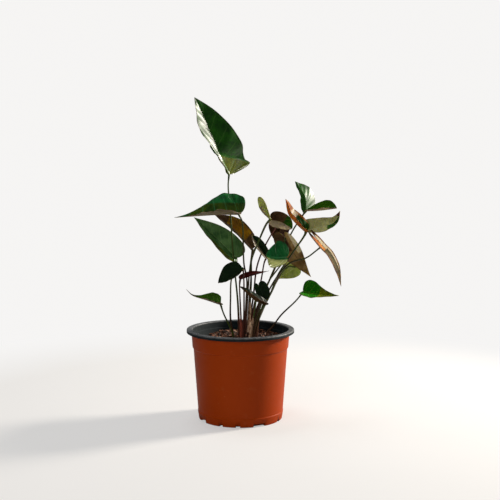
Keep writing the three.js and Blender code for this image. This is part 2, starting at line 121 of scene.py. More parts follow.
def calc(tree, operation, *values):
    """One step of arithmetic on shades."""
    made = node(tree, "ShaderNodeMath", operation=operation)
    for value, socket in zip(values, made.inputs):
        plug(tree, value, socket)
    return made.outputs[0]


def times(tree, first, *others):
    """Shades multiplied together."""
    for other in others:
        first = calc(tree, "MULTIPLY", first, other)
    return first


def plus(tree, first, *others):
    """Shades added up."""
    for other in others:
        first = calc(tree, "ADD", first, other)
    return first


def soft_step(tree, value, low, high):
    """0 below low, 1 above high and smooth between; low may be the larger of the two."""
    made = node(tree, "ShaderNodeMapRange", interpolation_type="SMOOTHSTEP")
    plug(tree, value, made.inputs["Value"])
    flipped = low > high
    made.inputs["From Min"].default_value = min(low, high)
    made.inputs["From Max"].default_value = max(low, high)
    made.inputs["To Min"].default_value = 1.0 if flipped else 0.0
    made.inputs["To Max"].default_value = 0.0 if flipped else 1.0
    return made.outputs["Result"]


MIX_FIRST, MIX_SECOND, MIX_RESULT = 6, 7, 2


def blend(tree, share, first, second):
    """Two colours blended by a share from 0 to 1."""
    made = node(tree, "ShaderNodeMix", data_type="RGBA")
    plug(tree, share, made.inputs["Factor"])
    for value, index in ((first, MIX_FIRST), (second, MIX_SECOND)):
        colour = value if isinstance(value, bpy.types.NodeSocket) else (*value, 1.0)
        plug(tree, colour, made.inputs[index])
    return made.outputs[MIX_RESULT]


def blend_value(tree, share, first, second):
    """From the first value to the second as the share goes from 0 to 1."""
    rest = calc(tree, "SUBTRACT", 1.0, share)
    return plus(tree, times(tree, rest, first), times(tree, share, second))


def object_place(tree):
    """Places in the piece's own metres."""
    return node(tree, "ShaderNodeTexCoord").outputs["Object"]


def attribute(tree, name):
    """A value that the mesh stores at each of its points."""
    return node(tree, "ShaderNodeAttribute", attribute_name=name).outputs["Fac"]


def grain(tree, place, scale, detail=4.0, roughness=0.55):
    """Soft noise, with scale in features to the metre."""
    made = node(tree, "ShaderNodeTexNoise", {"Vector": place, "Scale": scale, "Detail": detail})
    made.inputs["Roughness"].default_value = roughness
    return made.outputs["Fac"]


def cells(tree, place, scale, feature="F1"):
    """Distances in cells of the given number to the metre."""
    made = node(tree, "ShaderNodeTexVoronoi", {"Vector": place, "Scale": scale}, feature=feature)
    return made.outputs["Distance"]


def coat(tree, shader, body, roughness, specular=0.5):
    """Gives the shader its colour, its roughness and a constant specular level."""
    plug(tree, body, shader.inputs["Base Color"])
    plug(tree, roughness, shader.inputs["Roughness"])
    shader.inputs["Specular IOR Level"].default_value = specular


def bump(tree, shader, height, distance, strength=1.0):
    """Fine relief of the given depth in metres."""
    made = node(tree, "ShaderNodeBump", {"Height": height, "Distance": distance})
    made.inputs["Strength"].default_value = strength
    tree.links.new(made.outputs["Normal"], shader.inputs["Normal"])


# %% [markdown]
# ## Small helpers for meshes
# Every piece ends as a plain mesh at the origin, with its place in its vertices, exactly as the
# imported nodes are. One helper turns points and faces into such a piece, and one says which packed
# node it stands for.


# %% Mesh helpers
def mesh_object(name, points, faces, materials, smooth=True):
    """A piece from points in millimetres and faces."""
    mesh = bpy.data.meshes.new(name)
    mesh.from_pydata((np.asarray(points) * MM).tolist(), [], faces)
    for material in materials:
        mesh.materials.append(material)
    mesh.polygons.foreach_set("use_smooth", [smooth] * len(mesh.polygons))
    made = bpy.data.objects.new(name, mesh)
    bpy.context.scene.collection.objects.link(made)
    return made


def settle(piece, slot=None, *nodes):
    """The piece rides the one body and stands for its nodes. The slot is not used."""
    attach(piece, "root")
    if nodes:
        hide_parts(*nodes)


def face_outwards(made):
    """Merges doubles and turns every face outwards."""
    work = bmesh.new()
    work.from_mesh(made.data)
    bmesh.ops.remove_doubles(work, verts=work.verts, dist=1e-6)
    bmesh.ops.recalc_face_normals(work, faces=work.faces)
    work.to_mesh(made.data)
    work.free()


def evaluated(made):
    """The object with its modifiers applied, as a new plain mesh in the same object."""
    depsgraph = bpy.context.evaluated_depsgraph_get()
    mesh = bpy.data.meshes.new_from_object(made.evaluated_get(depsgraph))
    name = made.name
    bpy.data.objects.remove(made)
    mesh.name = name
    plain = bpy.data.objects.new(name, mesh)
    bpy.context.scene.collection.objects.link(plain)
    return plain


# %% [markdown]
# ## The pot's plastic
# The pot is drawn from a sheet with two skins: terracotta outside and nearly black inside, and the
# dark one shows wherever the rim is rolled over. A used nursery pot is never one clean colour. It
# carries a bloom of dried lime, small splashes and fine scuffs on the rim where pots were stacked.
# The rim's lighter top is partly those scuffs and partly a painted highlight. A flat colour would
# look like a toy, so the recipe layers soft noises over the plastic's own.

# %% Pot materials
TERRACOTTA = (0.44, 0.052, 0.0005)
TERRACOTTA_DEEP = (0.36, 0.038, 0.0005)
LIME_DUST = (0.50, 0.17, 0.08)
POT_DARK = (0.010, 0.017, 0.020)
POT_WORN_AND_HIGHLIGHT = (0.21, 0.22, 0.23)
BLOOM_SHARE = 0.16
SPLASH_SHARE = 0.55
DUST_SHARE = 0.12
SCUFF_AND_HIGHLIGHT_SHARE = 0.8
# The rim's scuffs and its painted highlight fade in over these heights, in metres.
SCUFF_AND_HIGHLIGHT_FOOT, SCUFF_AND_HIGHLIGHT_TOP = 0.1236, 0.1259
INNER_WALL_ROUGHNESS = 0.90


def terracotta_plastic():
    material, tree, shader = new_material("terracotta_plastic")
    place = object_place(tree)
    body = blend(tree, grain(tree, place, 14.0, 3.0), TERRACOTTA, TERRACOTTA_DEEP)
    bloom = soft_step(tree, grain(tree, place, 60.0, 6.0, 0.7), 0.56, 0.78)
    body = blend(tree, times(tree, bloom, BLOOM_SHARE), body, LIME_DUST)
    speck = soft_step(tree, cells(tree, place, 210.0), 0.13, 0.06)
    rare = soft_step(tree, grain(tree, place, 75.0, 2.0), 0.56, 0.64)
    body = blend(tree, times(tree, speck, rare, SPLASH_SHARE), body, LIME_DUST)
    worn = calc(tree, "MULTIPLY_ADD", grain(tree, place, 120.0, 5.0), 0.18, 0.36)
    coat(tree, shader, body, worn, specular=0.14)
    bump(tree, shader, grain(tree, place, 900.0, 4.0), 0.00006, 0.5)
    return material


def dark_plastic():
    material, tree, shader = new_material("dark_plastic")
    place = object_place(tree)
    dust = soft_step(tree, grain(tree, place, 90.0, 6.0, 0.7), 0.48, 0.80)
    body = blend(tree, times(tree, dust, DUST_SHARE), POT_DARK, POT_WORN_AND_HIGHLIGHT)
    height = node(tree, "ShaderNodeSeparateXYZ", {"Vector": place}).outputs["Z"]
    # The rim's top turns lighter: partly real scuffs, partly a painted highlight.
    rim = soft_step(tree, height, SCUFF_AND_HIGHLIGHT_FOOT, SCUFF_AND_HIGHLIGHT_TOP)
    scuffs_and_highlight = soft_step(tree, grain(tree, place, 160.0, 5.0), 0.2, 0.6)
    body = blend(tree, times(tree, rim, scuffs_and_highlight, SCUFF_AND_HIGHLIGHT_SHARE), body, POT_WORN_AND_HIGHLIGHT)
    worn = calc(tree, "MULTIPLY_ADD", dust, 0.25, 0.40)
    coat(tree, shader, body, blend_value(tree, rim, INNER_WALL_ROUGHNESS, worn), specular=0.3)
    bump(tree, shader, grain(tree, place, 700.0, 4.0), 0.00005, 0.5)
    return material


POT_SKINS = [terracotta_plastic(), dark_plastic()]
print("pot skins:", ", ".join(skin.name for skin in POT_SKINS))

# %% [markdown]
# ## The pot
# A round pot is one profile turned about its axis: up the outside, over the flange, down inside.
# Moulded corners are never sharp, so each corner of the profile is rounded by a short curve before
# it is turned. The drain slots are then cut through the bottom corner with a Boolean.

# %% Pot sizes
RIM_RADIUS = 75.0
POT_HEIGHT = 126.0
BASE_RADIUS = 59.0
NECK_RADIUS = 68.5
WALL = 1.6
FLANGE = 1.8
ROLL = 4.6
BAND_FOOT = POT_HEIGHT - ROLL - 21.0
BAND_STEP = 1.4
HEEL_HEIGHT = 11.5
INNER_STEP = POT_HEIGHT - 9.0
FLOOR = WALL + 0.4
SLOPE = (NECK_RADIUS - BASE_RADIUS) / (POT_HEIGHT - ROLL)
POT_SEGMENTS = 192
OUTSIDE, INSIDE = 0, 1
print("pot:", 2 * RIM_RADIUS, "mm across the rim and", POT_HEIGHT, "mm high")


def wall_radius(height):
    return BASE_RADIUS + SLOPE * height


# Each corner: radius, height, how round it is and the skin that follows it.
POT_PROFILE = [
    (0.0, 0.0, 0.0, OUTSIDE),
    (BASE_RADIUS - 0.8, 0.0, 1.4, OUTSIDE),
    (wall_radius(HEEL_HEIGHT), HEEL_HEIGHT, 0.4, OUTSIDE),
    (wall_radius(HEEL_HEIGHT) - 0.5, HEEL_HEIGHT + 0.8, 0.4, OUTSIDE),
    (wall_radius(BAND_FOOT) - BAND_STEP, BAND_FOOT - 1.0, 0.7, OUTSIDE),
    (wall_radius(BAND_FOOT), BAND_FOOT + 0.4, 0.7, OUTSIDE),
    (NECK_RADIUS, POT_HEIGHT - FLANGE, 0.6, INSIDE),
    (RIM_RADIUS - 1.6, POT_HEIGHT - FLANGE - 0.4, 0.4, INSIDE),
    (RIM_RADIUS - 1.5, POT_HEIGHT - ROLL, 0.3, INSIDE),
    (RIM_RADIUS - 0.1, POT_HEIGHT - ROLL, 0.6, INSIDE),
    (RIM_RADIUS, POT_HEIGHT, 1.6, INSIDE),
    (NECK_RADIUS - WALL, POT_HEIGHT, 1.4, INSIDE),
    (wall_radius(INNER_STEP) - WALL, INNER_STEP, 0.4, INSIDE),
    (wall_radius(INNER_STEP) - WALL - 1.2, INNER_STEP - 0.8, 0.4, INSIDE),
    (wall_radius(BAND_FOOT) - BAND_STEP - WALL, BAND_FOOT - 1.0, 0.6, INSIDE),
    (BASE_RADIUS - WALL, FLOOR, 1.2, INSIDE),
    (0.0, FLOOR, 0.0, INSIDE),
]
CORNER_STEPS = 4


def rounded_profile(profile):
    """The profile's points with each corner drawn as a short curve, and each stretch's skin."""
    points, skins = [], []
    for index, (radius, height, round_by, skin) in enumerate(profile):
        here = np.array((radius, height))
        if round_by == 0.0:
            points.append(here)
            skins.append(skin)
            continue
        before = np.array(profile[index - 1][:2]) - here
        after = np.array(profile[index + 1][:2]) - here
        reach_in = min(round_by, 0.45 * np.linalg.norm(before))
        reach_out = min(round_by, 0.45 * np.linalg.norm(after))
        start = here + before / np.linalg.norm(before) * reach_in
        end = here + after / np.linalg.norm(after) * reach_out
        for step in range(CORNER_STEPS + 1):
            t = step / CORNER_STEPS
            points.append((1 - t) ** 2 * start + 2 * t * (1 - t) * here + t * t * end)
            skins.append(profile[index - 1][3] if step < CORNER_STEPS // 2 else skin)
    return points, skins


# %% Turn the pot
def turned_pot():
    profile, skins = rounded_profile(POT_PROFILE)
    angles = np.linspace(0.0, 2.0 * np.pi, POT_SEGMENTS, endpoint=False)
    points, rings = [], []
    for radius, height in profile:
        if radius < 1e-6:
            rings.append([len(points)] * POT_SEGMENTS)
            points.append((0.0, 0.0, height))
            continue
        rings.append(list(range(len(points), len(points) + POT_SEGMENTS)))
        points += [(radius * math.cos(a), radius * math.sin(a), height) for a in angles]
    faces, face_skins = [], []
    for level in range(len(profile) - 1):
        for turn in range(POT_SEGMENTS):
            following = (turn + 1) % POT_SEGMENTS
            corner = (rings[level][turn], rings[level][following])
            far = (rings[level + 1][following], rings[level + 1][turn])
            faces.append(list(dict.fromkeys(corner + far)))
            face_skins.append(skins[level])
    pot = mesh_object("nursery_pot", points, faces, POT_SKINS)
    pot.data.polygons.foreach_set("material_index", face_skins)
    face_outwards(pot)
    return pot


# Each slot in a quarter of the pot: its width, half its height and its angle.
DRAIN_SLOTS = [(18.0, 4.2, 27.0), (6.0, 3.0, -3.0), (6.0, 3.0, -27.0)]
SLOT_REACH = (-BASE_RADIUS - 1.0, -BASE_RADIUS + 8.0)
BOX_FACES = [(0, 1, 3, 2), (4, 6, 7, 5), (0, 4, 5, 1), (2, 3, 7, 6), (0, 2, 6, 4), (1, 5, 7, 3)]


def cut_slots(pot):
    """Wide slots at the quarters and narrow ones between, through wall and floor."""
    points, faces = [], []
    for quarter in range(4):
        for width, height, angle in DRAIN_SLOTS:
            turn = math.radians(angle + 90.0 * quarter)
            cos, sin = math.cos(turn), math.sin(turn)
            first = len(points)
            for x in (-width / 2, width / 2):
                for y in SLOT_REACH:
                    points += [(x * cos - y * sin, x * sin + y * cos, z) for z in (-height, height)]
            faces += [[first + i for i in face] for face in BOX_FACES]
    cutter = mesh_object("slot_cutter", points, faces, POT_SKINS[:1], smooth=False)
    face_outwards(cutter)
    cut = pot.modifiers.new("drain slots", "BOOLEAN")
    cut.operation = "DIFFERENCE"
    cut.solver = "EXACT"
    cut.object = cutter
    whole = evaluated(pot)
    bpy.data.objects.remove(cutter)
    return whole


pot = cut_slots(turned_pot())
settle(pot, "pot_plastic", "pot")
print("turned and cut pot:", len(pot.data.polygons), "faces")

# %% [markdown]
# ## The potting mix
# The mix is damp bark and coir, dark and crumbly. Its body is one closed solid whose top is
# raised by layered noise, and the loose bark that lies on it is scattered in the next step.

# %% Mix material
MIX_DARK = (0.012, 0.007, 0.005)
MIX_BROWN = (0.060, 0.026, 0.014)
MIX_FIBRE = (0.20, 0.10, 0.05)


def crumbly_mix():
    material, tree, shader = new_material("crumbly_mix")
    place = object_place(tree)
    body = blend(tree, soft_step(tree, grain(tree, place, 260.0, 6.0), 0.38, 0.66), MIX_DARK, MIX_BROWN)
    fibre = soft_step(tree, cells(tree, place, 420.0), 0.20, 0.08)
    body = blend(tree, times(tree, fibre, 0.5), body, MIX_FIBRE)
    coat(tree, shader, body, 0.85, specular=0.3)
    bump(tree, shader, grain(tree, place, 480.0, 6.0), 0.0012, 0.8)
    return material


# %% Mix body
SOIL_TOP = 113.0
MIX_GAP = 0.3
MIX_RINGS = 56
MIX_SEGMENTS = 144
MIX_ROUGHNESS = 2.6
LEFT_DIP = 5.0
LEFT_DIP_END = -22.0
LEFT_DIP_RUN = 30.0
# Mounds and crumbs to the millimetre, and their shares of the roughness.
MOUND_SCALE, MOUND_SHARE = 0.035, 0.7
CRUMB_SCALE, CRUMB_SHARE = 0.16, 0.55


def inner_radius(height):
    return wall_radius(height) - WALL - MIX_GAP


def mix_height(x, y):
    """The mix's top: soft mounds, crumbs on them, and a dip on the left by the wall."""
    mounds = noise.noise(Vector((x * MOUND_SCALE, y * MOUND_SCALE, 2.0)))
    crumbs = noise.fractal(Vector((x * CRUMB_SCALE, y * CRUMB_SCALE, 7.0)), 0.9, 2.1, 4)
    dip = LEFT_DIP * max(0.0, min(1.0, (LEFT_DIP_END - x) / LEFT_DIP_RUN))
    return SOIL_TOP - dip + MIX_ROUGHNESS * (MOUND_SHARE * mounds + CRUMB_SHARE * crumbs)


def potting_mix():
    edge = inner_radius(SOIL_TOP) - 0.6
    walls = [
        (BASE_RADIUS - WALL - 2.2, FLOOR + MIX_GAP),
        (BASE_RADIUS - WALL - MIX_GAP - 0.6, FLOOR + MIX_GAP + 2.4),
        (inner_radius(BAND_FOOT) - BAND_STEP - 0.3, BAND_FOOT - 2.0),
        (inner_radius(BAND_FOOT) - BAND_STEP, BAND_FOOT),
    ]
    angles = np.linspace(0.0, 2.0 * np.pi, MIX_SEGMENTS, endpoint=False)
    points = [(0.0, 0.0, FLOOR + MIX_GAP)]
    for radius, height in walls:
        points += [(radius * math.cos(a), radius * math.sin(a), height) for a in angles]
    for ring in range(MIX_RINGS):
        radius = edge * (1.0 - ring / MIX_RINGS)
        for a in angles:
            x, y = radius * math.cos(a), radius * math.sin(a)
            points.append((x, y, mix_height(x, y)))
    points.append((0.0, 0.0, mix_height(0.0, 0.0)))
    rings = len(walls) + MIX_RINGS
    faces = []
    for turn in range(MIX_SEGMENTS):
        following = (turn + 1) % MIX_SEGMENTS
        faces.append([0, 1 + following, 1 + turn])
        for level in range(rings - 1):
            low = 1 + level * MIX_SEGMENTS
            high = low + MIX_SEGMENTS
            faces.append([low + turn, low + following, high + following, high + turn])
        top = 1 + (rings - 1) * MIX_SEGMENTS
        faces.append([top + turn, top + following, len(points) - 1])
    return mesh_object("bark_mix", points, faces, [crumbly_mix()])


mix = potting_mix()
settle(mix, "bark_mix", "potting_mix")
print("mix:", len(mix.data.polygons), "faces")

# %% [markdown]
# ## Loose bark
# Hundreds of like pieces are a job for Geometry Nodes: points are strewn over the mix, a chip is
# picked for each, turned and scaled at random from a fixed seed, and the instances are realized so
# that they are real faces. Each chip also draws a tone, which its material reads. The noise that
# makes the moulds ragged starts afresh in every session unless its seed is set, so it is set first.


# %% Bark material
BARK_TONES = [(0.020, 0.010, 0.007), (0.090, 0.030, 0.014), (0.19, 0.072, 0.036), (0.42, 0.27, 0.17)]


def bark():
    material, tree, shader = new_material("bark_chip")
    place = object_place(tree)
    tone = attribute(tree, "tone")
    body = blend(tree, soft_step(tree, tone, 0.15, 0.5), BARK_TONES[0], BARK_TONES[1])
    body = blend(tree, soft_step(tree, tone, 0.5, 0.82), body, BARK_TONES[2])
    body = blend(tree, soft_step(tree, tone, 0.93, 0.97), body, BARK_TONES[3])
    flecks = soft_step(tree, grain(tree, place, 900.0, 4.0), 0.4, 0.7)
    body = blend(tree, times(tree, flecks, 0.5), body, BARK_TONES[0])
    coat(tree, shader, body, 0.78)
    bump(tree, shader, grain(tree, place, 1100.0, 5.0), 0.0004, 0.7)
    return material


# %% Chip moulds
CHIP_KINDS = 4
CHIP_SEED = 5
CHIP_FLATNESS = (1.0, 0.62, 0.34)
CHIP_RAGGEDNESS = 0.17
RAGS_PER_LENGTH = 2.3
MOULD_SPACING = 9.0


def chip_mould(index):
    """A split piece of bark, flat and ragged, of length 1 before it is scaled."""
    work = bmesh.new()
    bmesh.ops.create_icosphere(work, subdivisions=1, radius=0.5)
    for vert in work.verts:
        start = Vector((index * MOULD_SPACING, 0.0, 0.0))
        shift = noise.noise_vector(vert.co * RAGS_PER_LENGTH + start)
        flat = Vector([side * share for side, share in zip(vert.co, CHIP_FLATNESS)])
        vert.co = flat + shift * CHIP_RAGGEDNESS
    mesh = bpy.data.meshes.new("chip_mould")
    work.to_mesh(mesh)
    work.free()
    return bpy.data.objects.new("chip_mould_" + str(index), mesh)


# %% Helpers for Geometry Nodes
def node_group(name, inputs):
    """An empty Geometry Nodes tree with named inputs, and its two end nodes."""
    tree = bpy.data.node_groups.new(name, "GeometryNodeTree")
    sockets = tree.interface
    sockets.new_socket("Geometry", in_out="INPUT", socket_type="NodeSocketGeometry")
    for label, kind in inputs:
        sockets.new_socket(label, in_out="INPUT", socket_type="NodeSocket" + kind)
    sockets.new_socket("Geometry", in_out="OUTPUT", socket_type="NodeSocketGeometry")
    return tree, tree.nodes.new("NodeGroupInput"), tree.nodes.new("NodeGroupOutput")


def with_tree(made, tree, values):
    """Puts a tree on an object, its inputs set by the sockets' identifiers, and applies it."""
    modifier = made.modifiers.new(tree.name, "NODES")
    modifier.node_group = tree
    for socket in tree.interface.items_tree:
        if socket.in_out == "INPUT" and socket.name in values:
            modifier[socket.identifier] = values[socket.name]
    return evaluated(made)


def store(tree, geometry, name, value, domain="POINT"):
    """The geometry with a value stored under the name that its material reads."""
    inputs = {"Geometry": geometry, "Name": name, "Value": value}
    made = node(tree, "GeometryNodeStoreNamedAttribute", inputs, data_type="FLOAT", domain=domain)
    return made.outputs["Geometry"]


def dress(tree, geometry, material, end):
    """Sets the material of the finished geometry and sends it out of the tree."""
    dressed = node(tree, "GeometryNodeSetMaterial", {"Geometry": geometry, "Material": material})
    tree.links.new(dressed.outputs["Geometry"], end.inputs["Geometry"])


# %% Strew the chips
DENSEST = 4.0e5
CHIP_TILT = 0.5
SIZE_SEED = 3
TONE_SEED = 8


def strewing_tree(moulds, material):
    inputs = [("Spacing", "Float"), ("Smallest", "Float"), ("Largest", "Float"), ("Seed", "Int")]
    tree, start, end = node_group("Strewn chips", inputs)
    strew = node(tree, "GeometryNodeDistributePointsOnFaces", {
        "Mesh": start.outputs["Geometry"],
        "Distance Min": start.outputs["Spacing"],
        "Density Max": DENSEST,
        "Seed": start.outputs["Seed"],
    }, distribute_method="POISSON")
    kinds = node(tree, "GeometryNodeCollectionInfo", {
        "Collection": moulds,
        "Separate Children": True,
        "Reset Children": True,
    })
    turn = node(tree, "FunctionNodeRandomValue", {
        0: (-CHIP_TILT, -CHIP_TILT, 0.0),
        1: (CHIP_TILT, CHIP_TILT, 2 * math.pi),
    }, data_type="FLOAT_VECTOR")
    size = node(tree, "FunctionNodeRandomValue", {
        2: start.outputs["Smallest"],
        3: start.outputs["Largest"],
        "Seed": SIZE_SEED,
    }, data_type="FLOAT")
    placed = node(tree, "GeometryNodeInstanceOnPoints", {
        "Points": strew.outputs["Points"],
        "Instance": kinds.outputs["Instances"],
        "Pick Instance": True,
        "Rotation": turn.outputs[0],
        "Scale": size.outputs[1],
    })
    tone = node(tree, "FunctionNodeRandomValue", {"Seed": TONE_SEED}, data_type="FLOAT").outputs[1]
    toned = store(tree, placed.outputs["Instances"], "tone", tone, domain="INSTANCE")
    real = node(tree, "GeometryNodeRealizeInstances", {"Geometry": toned})
    dress(tree, real.outputs["Geometry"], material, end)
    return tree


# %% Where the chips lie
PATCH_STEP = 2.0
PATCH_LIFT = 0.4
WALL_MARGIN = 4.0


def mix_surface(name, radius):
    """A patch of the mix's top that chips can be strewn over."""
    count = int(2 * radius / PATCH_STEP) + 1
    points, index = [], {}
    for i in range(count):
        for j in range(count):
            x, y = -radius + i * PATCH_STEP, -radius + j * PATCH_STEP
            if math.hypot(x, y) <= radius:
                index[i, j] = len(points)
                points.append((x, y, mix_height(x, y) + PATCH_LIFT))
    faces = []
    for i, j in index:
        square = [(i, j), (i + 1, j), (i + 1, j + 1), (i, j + 1)]
        if all(corner in index for corner in square):
            faces.append([index[corner] for corner in square])
    return mesh_object(name, points, faces, [])


noise.seed_set(CHIP_SEED)
moulds = bpy.data.collections.new("chip moulds")
for kind in range(CHIP_KINDS):
    moulds.objects.link(chip_mould(kind))
chip_tree = strewing_tree(moulds, bark())
CHIP_LOTS = {
    "bark_chips": dict(Spacing=0.0042, Smallest=0.0035, Largest=0.0092, Seed=5),
    "bark_crumbs": dict(Spacing=0.0019, Smallest=0.0011, Largest=0.0034, Seed=6),
}
for name, sizes in CHIP_LOTS.items():
    patch = mix_surface(name, inner_radius(SOIL_TOP) - WALL_MARGIN)
    chips = with_tree(patch, chip_tree, sizes)
    settle(chips, "bark_mix")
    print(name, len(chips.data.polygons), "faces")
for mould in list(moulds.objects):
    bpy.data.objects.remove(mould)
bpy.data.collections.remove(moulds)
